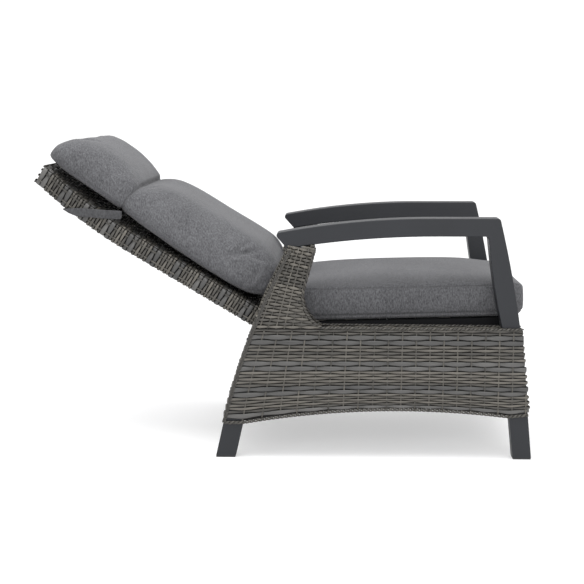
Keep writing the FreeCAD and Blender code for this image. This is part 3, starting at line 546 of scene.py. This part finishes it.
def weave_side():
    """The skin of one side: rows and core, stakes, the ledge's strips, and the edgings."""
    weave = Weave()
    core_depth, seam, end_gap = 0.0068, 0.002, 0.004
    rows = banded_rows(BAND_TOP, SIDE_BOTTOM + seam)
    spare = (LEDGE - 0.0015 - BAND_TOP) / 2
    rows = [(BAND_TOP + spare * 1.5, spare), (BAND_TOP + spare * 0.5, spare)] + rows
    up = []
    level = LEDGE + NARROW / 2
    while level < SIDE_TOP - 0.001:
        up.append((level, NARROW))
        level += UPRIGHT_ROW
    for index, (level, width) in enumerate(up[::-1] + rows):
        side_row(weave, level, width, index % 2)
    capped_rows(weave, NARROW, (len(up) + len(rows)) % 2)
    weave.plate(side_outline(core_depth), SIDE_IN + core_depth, SIDE_OUT - core_depth)
    stakes = [(k * PITCH, SIDE_BOTTOM + end_gap, LEDGE) for k in range(1, 21)]
    stakes += [(k * UPRIGHT_PITCH, LEDGE, SIDE_TOP) for k in range(1, 10)]
    for s, low, high in stakes:
        zs = [z for z in np.arange(low, high, STAKE_STEP)
              if stake_x(s, z) < front_x(z) - 0.006 and z > bottom_z(stake_x(s, z))]
        if len(zs) < 3:
            continue
        for y, ny in ((SIDE_OUT - DEPTH, 1), (SIDE_IN + DEPTH, -1)):
            weave.ribbon([(stake_x(s, z), y, z) for z in zs], [(0, ny, 0)] * len(zs), *STAKE, NARROW_SLOT)
    count, ledge_start, ledge_end = 6, 0.112, 0.646
    strip = (SIDE_OUT - SIDE_IN - 2 * seam) / count
    xs = np.arange(ledge_start, ledge_end, STEP)
    for index in range(count):
        y = SIDE_IN + seam + strip * (index + 0.5)
        woven(weave, [(x, y, LEDGE - DEPTH) for x in xs], [(0, 0, 1)] * len(xs),
              (xs - REAR_AT_LEDGE) / PITCH, index % 2, strip * 1.02)
    rear_zs = np.linspace(SIDE_BOTTOM + end_gap, SIDE_TOP - end_gap, 160)
    front_zs = np.linspace(SIDE_TOP - end_gap, LEDGE, 90)
    hem_xs = np.linspace(-0.155, 0.664, 120)
    braid_in, front_in, hem_up = 0.0075, 0.0022, 0.0040
    for y, ny in ((SIDE_OUT - 0.0006, 1), (SIDE_IN + 0.0006, -1)):
        rear = spaced([(rear_x(z) + braid_in, y, z) for z in rear_zs], PATH_STEP)
        braid(weave, rear, [(0, ny, 0)] * len(rear), 0.0034, 0.0044, TWIST)
        cord_y = y - ny * 0.001
        curve = [(front_x(z) - front_in, cord_y, z) for z in front_zs]
        curve = spaced(curve + [(0.645, cord_y, LEDGE - 0.0015)], PATH_STEP)
        cord(weave, curve, [(0, ny, 0)] * len(curve), 0.0024, 0.022)
        hem = spaced([(x, cord_y, bottom_z(x) + hem_up) for x in hem_xs], PATH_STEP)
        cord(weave, hem, [(0, ny, 0)] * len(hem), 0.0028, TWIST)
    return weave


side = weave_side()
for name, mirror in (("left", False), ("right", True)):
    piece = side.make("weave_side_" + name, mirror)
    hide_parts("side_weave_" + name)
    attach(piece, "base")


# Woven aprons ------------------------------------------------------------------------------------
def weave_apron(name, corners, band_top, half=0.2815):
    """corners: outer bottom, outer top, inner top, inner bottom, as XZ points."""
    weave = Weave()
    (xa, za), (xb, zb), (xc, _), (xd, _) = corners
    out = 1 if xa > xd else -1
    ys = np.arange(-half + 0.001, half - 0.001, STEP)
    rows = [(z, w) for z, w in banded_rows(band_top, za) if z + w / 2 < zb]
    level = rows[0][0] + rows[0][1] / 2
    while level + NARROW * 0.6 < zb:
        rows.insert(0, (level + NARROW / 2, NARROW))
        level += NARROW
    for index, (z, width) in enumerate(rows):
        share = (z - za) / (zb - za)
        for start, end, side_sign in ((xa, xb, out), (xd, xc, -out)):
            x = start + (end - start) * share - side_sign * DEPTH
            woven(weave, [(x, y, z) for y in ys], [(side_sign, 0, 0)] * len(ys), ys / PITCH, index % 2,
                  width)
    for z, x0, x1, up in ((zb, xb, xc, 1), (za, xa, xd, -1)):
        count = max(int(abs(x1 - x0) / NARROW), 2)
        for index in range(count):
            x = x0 + (x1 - x0) * (index + 0.5) / count
            woven(weave, [(x, y, z - up * DEPTH) for y in ys], [(0, 0, up)] * len(ys), ys / PITCH,
                  index % 2, abs(x1 - x0) / count * 1.02)
    inset = 0.0064
    inner = [(xa - out * inset, za + inset), (xb - out * inset, zb - inset),
             (xc + out * inset, zb - inset), (xd + out * inset, za + inset)]
    weave.plate(inner, -half, half)
    for k in range(-7, 8):
        y = k * PITCH
        for start, end, side_sign in ((xa, xb, out), (xd, xc, -out)):
            zs = np.arange(za + 0.004, zb - 0.003, STAKE_STEP)
            run = [(start + (end - start) * (z - za) / (zb - za) - side_sign * DEPTH, y, z) for z in zs]
            weave.ribbon(run, [(side_sign, 0, 0)] * len(run), *FLAT_STAKE, EDGE_SLOT)
    edge, radius = 0.002, 0.0018
    for x, z in ((xa - out * edge, za + edge), (xb - out * edge, zb - edge)):
        path = spaced([(x, -half, z), (x, half, z)], PATH_STEP)
        cord(weave, path, [(out, 0, 0)] * len(path), radius, TWIST)
    piece = weave.make("weave_" + name)
    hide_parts(name + "_weave")
    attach(piece, "base")


weave_apron("front_apron", [(0.668, 0.122), (0.646, 0.351), (0.606, 0.351), (0.628, 0.122)], BAND_TOP)
weave_apron("rear_apron", [(-0.162, 0.097), (-0.112, 0.275), (-0.080, 0.275), (-0.130, 0.097)],
            BAND_TOP - 2 * WIDE - 5 * NARROW)


# Woven back --------------------------------------------------------------------------------------
SLOPE = math.radians(32.6)
BACK_FOOT = (0.010, 0.330)
BACK_HALF, BACK_THICK = 0.272, 0.054
BACK_LOW, BACK_BEND, BACK_HIGH = 0.012, 0.480, 0.802


def back_xz(u, n):
    """Row X, Z of a point u along the reclined back and n in front of its reference line."""
    return (BACK_FOOT[0] - u * math.cos(SLOPE) + n * math.sin(SLOPE),
            BACK_FOOT[1] + u * math.sin(SLOPE) + n * math.cos(SLOPE))


def back_middle(u):
    beyond = max(0.0, u - BACK_BEND)
    return -0.004 - 0.031 * u + 0.36 * beyond ** 2


def back_lean(u):
    """Slope dn/du of the back's middle line."""
    return -0.031 + 0.72 * max(0.0, u - BACK_BEND)


def back_place(u, y, n):
    x, z = back_xz(u, n)
    return (x, y, z)


def back_normal(u, ny, nn):
    """Direction with a part across the chair and a part along the back's own normal."""
    lean = back_lean(u)
    nu, up = -lean * nn, nn
    x = -nu * math.cos(SLOPE) + up * math.sin(SLOPE)
    z = nu * math.sin(SLOPE) + up * math.cos(SLOPE)
    v = np.array([x, ny, z])
    return v / np.linalg.norm(v)


def weave_back():
    """The skin of the back: rows that run right round it, core, stakes, and both ends."""
    weave = Weave()
    half_y, half_n = BACK_HALF - DEPTH, BACK_THICK / 2 - DEPTH
    stakes, corner, bevel, core_depth = 15, 0.004, 0.001, 0.0062
    ys = np.linspace(-half_y + corner, half_y - corner, 91)
    ns = np.linspace(-half_n + corner, half_n - corner, 13)
    rows = banded_rows(BACK_HIGH - 0.004, BACK_LOW + 0.002)
    for index, (u, width) in enumerate(rows):
        middle = back_middle(u)
        points, normals, phases = [], [], []

        def put(y, n, ny, nn, phase):
            points.append(back_place(u, y, middle + n))
            normals.append(back_normal(u, ny, nn))
            phases.append(phase)

        for y in ys:
            put(y, half_n, 0, 1, 0.5 + stakes * (y + half_y) / (2 * half_y))
        put(half_y - bevel, half_n - bevel, 1, 1, stakes + 0.5)
        for n in ns[::-1]:
            put(half_y, n, 1, 0, stakes + 1.5 - n / half_n)
        put(half_y - bevel, -half_n + bevel, 1, -1, stakes + 2.5)
        for y in ys[::-1]:
            put(y, -half_n, 0, -1, stakes + 2.5 + stakes * (half_y - y) / (2 * half_y))
        put(-half_y + bevel, -half_n + bevel, -1, -1, 2 * stakes + 2.5)
        for n in ns:
            put(-half_y, n, -1, 0, 2 * stakes + 3.5 + n / half_n)
        put(-half_y + bevel, half_n - bevel, -1, 1, 2 * stakes + 4.5)
        woven(weave, points, normals, phases, index % 2, width)
    us = np.linspace(BACK_LOW + 0.006, BACK_HIGH - 0.006, 40)
    inset = BACK_THICK / 2 - core_depth
    outline = [back_xz(u, back_middle(u) + inset) for u in us]
    outline += [back_xz(u, back_middle(u) - inset) for u in us[::-1]]
    weave.plate(outline[::-1], -BACK_HALF + core_depth, BACK_HALF - core_depth)
    for k in range(stakes):
        y = -half_y + 2 * half_y * (k + 0.5) / stakes
        for side_sign in (1, -1):
            run = [back_place(u, y, back_middle(u) + side_sign * half_n) for u in us]
            weave.ribbon(run, [back_normal(u, 0, side_sign) for u in us], *FLAT_STAKE, EDGE_SLOT)
    for y in (-half_y, half_y):
        for n in (-half_n / 2, half_n / 2):
            run = [back_place(u, y, back_middle(u) + n) for u in us]
            weave.ribbon(run, [(0, math.copysign(1, y), 0)] * len(run), *STAKE, NARROW_SLOT)
    count, edge = 6, 0.003
    for u, sign in ((BACK_HIGH, 1), (BACK_LOW, -1)):
        along = Vector((-math.cos(SLOPE) * sign, 0, math.sin(SLOPE) * sign))
        for index in range(count):
            n = back_middle(u) + (index + 0.5 - count / 2) * (BACK_THICK - 0.004) / count
            run = [back_place(u - sign * DEPTH, y, n) for y in ys]
            woven(weave, run, [tuple(along)] * len(run), stakes * (ys + half_y) / (2 * half_y),
                  index % 2, NARROW)
        for n_side in (-1, 1):
            n = back_middle(u) + n_side * (BACK_THICK / 2 - edge)
            ends = [back_place(u - sign * edge, y, n) for y in (-half_y, half_y)]
            path = spaced(ends, PATH_STEP)
            cord(weave, path, [tuple(along)] * len(path), 0.0020, TWIST)
    piece = weave.make("weave_back")
    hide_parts("back_weave")
    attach(piece, "backrest")


weave_back()


# Cushions ----------------------------------------------------------------------------------------
def mesh_piece(name, points, faces):
    mesh = bpy.data.meshes.new(name)
    mesh.from_pydata([tuple(p) for p in points], [], faces)
    mesh.update()
    piece = bpy.data.objects.new(name, mesh)
    bpy.context.scene.collection.objects.link(piece)
    return piece


def coordinates(mesh):
    co = np.zeros(len(mesh.vertices) * 3)
    mesh.vertices.foreach_get("co", co)
    return co.reshape(-1, 3)


def apply_modifiers(piece):
    bpy.context.view_layer.update()
    graph = bpy.context.evaluated_depsgraph_get()
    mesh = bpy.data.meshes.new_from_object(piece.evaluated_get(graph))
    piece.modifiers.clear()
    old = piece.data
    piece.data = mesh
    bpy.data.meshes.remove(old)
    return piece


def remeshed(piece, voxel):
    modifier = piece.modifiers.new("remesh", "REMESH")
    modifier.mode = "VOXEL"
    modifier.voxel_size = voxel
    return apply_modifiers(piece)


def swollen(piece, pressure, cap, pinned):
    """Blows the closed mesh up as cloth, and lets no point move further than the cap."""
    frames = 20
    start = coordinates(piece.data)
    group = piece.vertex_groups.new(name="pin")
    for index, weight in enumerate(pinned(start)):
        if weight > 0:
            group.add([index], float(weight), "REPLACE")
    modifier = piece.modifiers.new("cloth", "CLOTH")
    settings = modifier.settings
    settings.quality = 5
    settings.mass = 0.25
    settings.tension_stiffness = 12
    settings.compression_stiffness = 8
    settings.shear_stiffness = 5
    settings.bending_stiffness = 0.8
    settings.use_pressure = True
    settings.uniform_pressure_force = pressure
    settings.effector_weights.gravity = 0
    settings.vertex_group_mass = "pin"
    modifier.point_cache.frame_start = 1
    modifier.point_cache.frame_end = frames
    scene = bpy.context.scene
    for number in range(1, frames + 1):
        scene.frame_set(number)
    graph = bpy.context.evaluated_depsgraph_get()
    moved = coordinates(piece.evaluated_get(graph).data)
    piece.modifiers.clear()
    scene.frame_set(1)
    shift = moved - start
    size = np.linalg.norm(shift, axis=1)
    limit = cap * np.tanh(size / cap)
    shift *= (limit / np.maximum(size, 1e-9))[:, None]
    piece.data.vertices.foreach_set("co", (start + shift).ravel())
    piece.vertex_groups.clear()
    return piece


def smoothed(piece, rounds):
    modifier = piece.modifiers.new("smooth", "SMOOTH")
    modifier.factor = 0.5
    modifier.iterations = rounds
    return apply_modifiers(piece)


def subdivided(piece):
    modifier = piece.modifiers.new("subdivide", "SUBSURF")
    modifier.levels = modifier.render_levels = 1
    apply_modifiers(piece)
    piece.data.polygons.foreach_set("use_smooth", np.ones(len(piece.data.polygons), bool))
    return piece


def seam_shade_attribute(piece, values):
    layer = piece.data.attributes.new("seam", "FLOAT", "POINT")
    layer.data.foreach_set("value", np.clip(values, 0, 1).astype(np.float32))


def loft(rings):
    """Points and faces of a closed form through rings of equal length."""
    k = len(rings[0])
    points = [p for ring in rings for p in ring]
    faces = [[i * k + j, i * k + (j + 1) % k, (i + 1) * k + (j + 1) % k, (i + 1) * k + j]
             for i in range(len(rings) - 1) for j in range(k)]
    last = (len(rings) - 1) * k
    faces += [list(range(k))[::-1], [last + j for j in range(k)]]
    return points, faces


def oblong(half, low, high, corner, soft=None, count=8):
    """Points (y, n) round a rectangle with rounded corners; soft is the radius of the two upper ones."""
    room = high - low - 0.002
    lower = min(corner, room / 2)
    upper = min(soft or corner, room - lower)
    ring = []
    for sign_y, radius, centre_n, start in ((1, lower, low + lower, -90), (1, upper, high - upper, 0),
                                            (-1, upper, high - upper, 90), (-1, lower, low + lower, 180)):
        for step in range(count + 1):
            angle = math.radians(start + 90 * step / count)
            ring.append((sign_y * (half - radius) + radius * math.cos(angle),
                         centre_n + radius * math.sin(angle)))
    return ring


def dent(points, centre, axis_long, axis_short, half_long, half_short, depth, direction):
    """Presses a soft crease or hollow into points near a place."""
    rel = points - np.array(centre)
    a, b = rel @ np.array(axis_long), rel @ np.array(axis_short)
    across = rel - np.outer(a, axis_long) - np.outer(b, axis_short)
    off = np.linalg.norm(across, axis=1) / 0.05
    near = np.exp(-(a / half_long) ** 2 - (b / half_short) ** 2 - off ** 2)
    return points + near[:, None] * depth * np.array(direction)


# Seat cushion
TILT = math.radians(1.64)
SEAT_REAR = (0.006, 0.3642)
SEAT_LONG, SEAT_HALF = 0.649, 0.271


def seat_matrix():
    return Matrix.Translation((SEAT_REAR[0], 0, SEAT_REAR[1])) @ Matrix.Rotation(-TILT, 4, "Y")


def from_rim(points):
    """How far each point lies inside the seat cushion's outline."""
    x, y = points[:, 0], points[:, 1]
    return np.minimum(SEAT_HALF - np.abs(y), np.minimum(x, SEAT_LONG - x))


def make_seat_cushion():
    base_low, base_high = 0.0005, 0.094
    stations = []
    for x in np.linspace(0.001, SEAT_LONG + 0.003, 40):
        inset_end = min(x, SEAT_LONG + 0.004 - x)
        pull = 0.016 * math.exp(-inset_end / 0.016)
        drop = 0.018 * math.exp(-inset_end / 0.010)
        half = SEAT_HALF - 0.0025 - pull
        ring = oblong(half, base_low + drop * 0.8, base_high - drop * 0.5, 0.011)
        stations.append([(x, y, n) for y, n in ring])
    piece = mesh_piece("cushion_seat", *loft(stations))
    remeshed(piece, 0.006)

    def pinned(points):
        low = np.clip((0.010 - points[:, 2]) / 0.006, 0, 1)
        edge = from_rim(points)
        rim = np.clip(1 - edge / 0.010, 0, 1) * np.clip(1 - np.abs(points[:, 2] - 0.088) / 0.010, 0, 1)
        return np.maximum(low * 0.9, rim)

    swollen(piece, 4.0, 0.018, pinned)
    smoothed(piece, 3)
    points = coordinates(piece.data)
    x, y, z = points.T
    cx = np.clip(1 - np.abs(x / SEAT_LONG - 0.5) * 2, 0, 1)
    cy = np.clip(1 - np.abs(y) / SEAT_HALF, 0, 1)
    top = np.clip((z - 0.075) / 0.02, 0, 1)
    crown = 0.017 * (1 - (1 - cx) ** 3) * (1 - (1 - cy) ** 3)
    points[:, 2] += top * crown
    points = dent(points, (0.60, 0.0, 0.10), (0, 1, 0), (1, 0, 0), 0.30, 0.05, 0.006, (0.3, 0, -1))
    piece.data.vertices.foreach_set("co", points.ravel())
    subdivided(piece)
    points = coordinates(piece.data)
    normals = np.array([v.normal for v in piece.data.vertices])
    # Seams along the top and bottom edges: dented in, and marked for the cloth's painted seam shade.
    seam = np.zeros(len(points))
    for level in (0.088, 0.014):
        wall = np.clip((0.9 - np.abs(normals[:, 2])) / 0.3, 0, 1)
        edge = from_rim(points)
        near = np.exp(-((points[:, 2] - level) / 0.0028) ** 2) * wall * (edge < 0.03)
        seam = np.maximum(seam, near)
    points -= normals * (seam * 0.0028)[:, None]
    piece.data.vertices.foreach_set("co", points.ravel())
    seam_shade_attribute(piece, seam ** 2)
    piece.data.transform(seat_matrix())
    return piece


# Back cushion: drawn with x = -u, z = n, then put in the back's place
def back_matrix():
    return Matrix.Translation((BACK_FOOT[0], 0, BACK_FOOT[1])) @ Matrix.Rotation(SLOPE, 4, "Y")


CUSHION_HALF = 0.264
CHANNEL = 0.566
REAR_LINE = [(0.088, 0.060), (0.113, 0.044), (0.155, 0.030), (0.200, 0.026), (0.295, 0.024), (0.392, 0.026),
             (0.493, 0.031), (0.560, 0.037), (0.620, 0.040), (0.679, 0.042), (0.740, 0.043), (0.780, 0.047),
             (0.805, 0.051), (0.814, 0.055)]
TOP_LINE = [(0.088, 0.124), (0.113, 0.145), (0.150, 0.148), (0.202, 0.146), (0.277, 0.143), (0.351, 0.142),
            (0.423, 0.142), (0.493, 0.139), (0.535, 0.134), (0.566, 0.125), (0.596, 0.135), (0.639, 0.143),
            (0.677, 0.147), (0.721, 0.146), (0.745, 0.142), (0.785, 0.127), (0.805, 0.108), (0.814, 0.096)]
FOLDS = ((0.205, 0.134, 35), (0.232, 0.130, 62), (0.180, 0.131, 12), (0.222, 0.118, 48))   # u, n, turn


def channel_shift(n):
    """How far the valley between head and back leans towards the foot, from the middle of the side up."""
    return 0.016 * np.clip((n - 0.085) / 0.045, 0, 1)


def make_back_cushion():
    rear_u, rear_n = np.array(REAR_LINE).T
    top_u, top_n = np.array(TOP_LINE).T
    stations = []
    for u in np.linspace(0.0885, 0.8135, 64):
        low, high = np.interp(u, rear_u, rear_n), np.interp(u, top_u, top_n)
        end = min(u - 0.088, 0.814 - u)
        pull = 0.030 * math.exp(-end / 0.022) + 0.007 * math.exp(-abs(u - CHANNEL) / 0.012)
        ring = oblong(CUSHION_HALF - 0.004 - pull, low + 0.003, high - 0.003, 0.024, soft=0.046)
        stations.append([(-u, y, n) for y, n in ring])
    piece = mesh_piece("cushion_back", *loft(stations))
    remeshed(piece, 0.006)

    def pinned(points):
        u, n = -points[:, 0], points[:, 2]
        middle = np.interp(u, rear_u, rear_n) + 0.008
        low = np.clip((middle - n) / 0.008, 0, 1) * 0.8
        channel = np.clip(1 - np.abs(u - CHANNEL) / 0.008, 0, 1)
        return np.maximum(low, channel)

    swollen(piece, 4.0, 0.020, pinned)
    smoothed(piece, 3)
    points = coordinates(piece.data)
    u, y, n = -points[:, 0], points[:, 1], points[:, 2]
    cy = np.clip(1 - np.abs(y) / CUSHION_HALF, 0, 1)
    part = np.where(u < CHANNEL, (u - 0.088) / (CHANNEL - 0.088), (u - CHANNEL) / (0.814 - CHANNEL))
    bulge = (1 - np.abs(2 * np.clip(part, 0, 1) - 1) ** 3)
    top = np.clip((n - np.interp(u, rear_u, rear_n) - 0.05) / 0.03, 0, 1)
    points[:, 2] += top * bulge * 0.010 * (1 - (1 - cy) ** 3)
    groove = np.exp(-((u - CHANNEL) / 0.006) ** 2)
    middle = 0.085
    points[:, 2] += groove * np.where(n > middle, -1, 0.4) * 0.007
    points[:, 0] += channel_shift(n) * np.exp(-((u - CHANNEL) / 0.06) ** 2)
    piece.data.vertices.foreach_set("co", points.ravel())
    for side_y in (-0.252, 0.252):
        for cu, cn, turn in FOLDS:
            angle = math.radians(turn)
            points = coordinates(piece.data)
            points = dent(points, (-cu, side_y, cn), (-math.cos(angle), 0, -math.sin(angle)),
                          (math.sin(angle), 0, -math.cos(angle)), 0.028, 0.0060,
                          0.0085, (0, -math.copysign(0.6, side_y), -0.7))
            piece.data.vertices.foreach_set("co", points.ravel())
    subdivided(piece)
    points = coordinates(piece.data)
    normals = np.array([v.normal for v in piece.data.vertices])
    u, n = -points[:, 0], points[:, 2]
    # Seam along the channel, and a weaker one low on the sides: dented in, and marked for the cloth's
    # painted seam shade.
    seam = np.exp(-((u - CHANNEL + channel_shift(n)) / 0.0026) ** 2)
    rear_seam = np.exp(-((n - np.interp(u, rear_u, rear_n) - 0.014) / 0.0026) ** 2) * (
        np.abs(points[:, 1]) > CUSHION_HALF - 0.03)
    seam = np.maximum(seam, rear_seam * 0.35)
    points -= normals * (seam * 0.0028)[:, None]
    piece.data.vertices.foreach_set("co", points.ravel())
    seam_shade_attribute(piece, seam ** 2)
    piece.data.transform(back_matrix())
    return piece


for maker, node, body in ((make_seat_cushion, "seat_cushion", "base"),
                          (make_back_cushion, "back_cushion", "backrest")):
    piece = maker()
    piece.data.materials.clear()
    piece.data.materials.append(CUSHION)
    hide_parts(node)
    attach(piece, body)


# Strap -------------------------------------------------------------------------------------------
def make_strap():
    """Flat band from the cushion's side seam, round the edge of the back and across its rear."""
    half_wide, y_out = 0.012, BACK_HALF + 0.0022
    u_seam, n_seam, u_rear = 0.553, 0.032, 0.686
    n_rear = back_middle(u_rear) - BACK_THICK / 2 - 0.0018

    def cross(t):
        """Both edges of the band on the side, from the seam (0) to the rear corner (1)."""
        u = u_seam + (u_rear - u_seam) * t
        n = n_seam + (n_rear - n_seam) * t
        y = CUSHION_HALF - 0.004 + (y_out - CUSHION_HALF + 0.004) * min(t * 4, 1)
        turn = math.atan2(n_rear - n_seam, u_rear - u_seam) * (1 - t ** 3)
        du, dn = -math.sin(turn) * half_wide, math.cos(turn) * half_wide
        if t > 0.8:
            blend = (t - 0.8) / 0.2
            du, dn = du + (half_wide - du) * blend, dn * (1 - blend)
        return (u + du, y, n + dn), (u - du, y, n - dn)

    lefts, rights = [], []
    for t in np.linspace(0, 1, 14):
        a, b = cross(t)
        lefts.append(a)
        rights.append(b)
    rear_ys = np.linspace(y_out - 0.004, -y_out + 0.004, 41)
    for y in rear_ys:
        lefts.append((u_rear + half_wide, y, n_rear - 0.0010))
        rights.append((u_rear - half_wide, y, n_rear - 0.0010))
    for t in np.linspace(1, 0, 14):
        a, b = cross(t)
        lefts.append((a[0], -a[1], a[2]))
        rights.append((b[0], -b[1], b[2]))
    columns = 5
    points, faces = [], []
    for a, b in zip(lefts, rights):
        for c in range(columns):
            share = c / (columns - 1)
            p = [a[i] + (b[i] - a[i]) * share for i in range(3)]
            points.append((-p[0], p[1], p[2]))
    for i in range(len(lefts) - 1):
        for c in range(columns - 1):
            this, after = i * columns + c, (i + 1) * columns + c
            faces.append([this, this + 1, after + 1, after])
    piece = mesh_piece("strap_back", points, faces)
    modifier = piece.modifiers.new("thick", "SOLIDIFY")
    modifier.thickness = 0.0015
    modifier.offset = 0
    apply_modifiers(piece)
    subdivided(piece)
    seam_shade_attribute(piece, np.zeros(len(piece.data.vertices)))
    piece.data.materials.append(STRAP)
    piece.data.transform(back_matrix())
    run = sum(math.dist(lefts[i], lefts[i + 1]) + math.dist(rights[i], rights[i + 1])
              for i in range(len(lefts) - 1)) / 2
    return piece, run


strap, strap_length = make_strap()
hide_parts("back_strap")
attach(strap, "backrest")


# Stage, light and camera -------------------------------------------------------------------------
def make_floor():
    size = 30.0
    corners = [(-size, -size, 0), (size, -size, 0), (size, size, 0), (-size, size, 0)]
    floor = mesh_piece("stage_floor", corners, [[0, 1, 2, 3]])
    m = Nodes("floor_white")
    noise = m.noise(m.place(), 3.0)
    m.link(m.ramp(noise, [(0.3, (0.63, 0.63, 0.63)), (0.7, (0.64, 0.64, 0.65))]), "Base Color")
    m.set(Roughness=0.6, Specular_IOR_Level=0.2, Emission_Color=(1, 1, 1, 1), Emission_Strength=0.44)
    floor.data.materials.append(m.material)


def area_light(name, place, target, size, power):
    light = bpy.data.lights.new(name, "AREA")
    light.shape = "RECTANGLE"
    light.size, light.size_y = size
    light.energy = power
    lamp = bpy.data.objects.new(name, light)
    bpy.context.scene.collection.objects.link(lamp)
    lamp.location = place
    lamp.rotation_euler = (Vector(target) - Vector(place)).to_track_quat("-Z", "Y").to_euler()


make_floor()
scene = bpy.context.scene
world = bpy.data.worlds.new("studio")
scene.world = world
world.use_nodes = True
world.node_tree.nodes["Background"].inputs["Color"].default_value = (1, 1, 1, 1)
world.node_tree.nodes["Background"].inputs["Strength"].default_value = 1.08
scene.view_settings.view_transform = "Standard"
area_light("key_above", (-0.3, -0.8, 2.9), (0.0, 0.0, 0.35), (2.2, 1.6), 60)
area_light("front_soft", (1.2, -3.0, 1.6), (0.1, 0.0, 0.4), (1.8, 1.4), 22)

camera_data = bpy.data.cameras.new("camera")
camera_data.lens = 80.14
camera_data.sensor_width = 36
camera = bpy.data.objects.new("camera", camera_data)
scene.collection.objects.link(camera)
camera.location = (0.135, -3.779, 0.944)
camera.rotation_euler = (math.radians(81.944), 0, math.radians(1.789))
scene.camera = camera
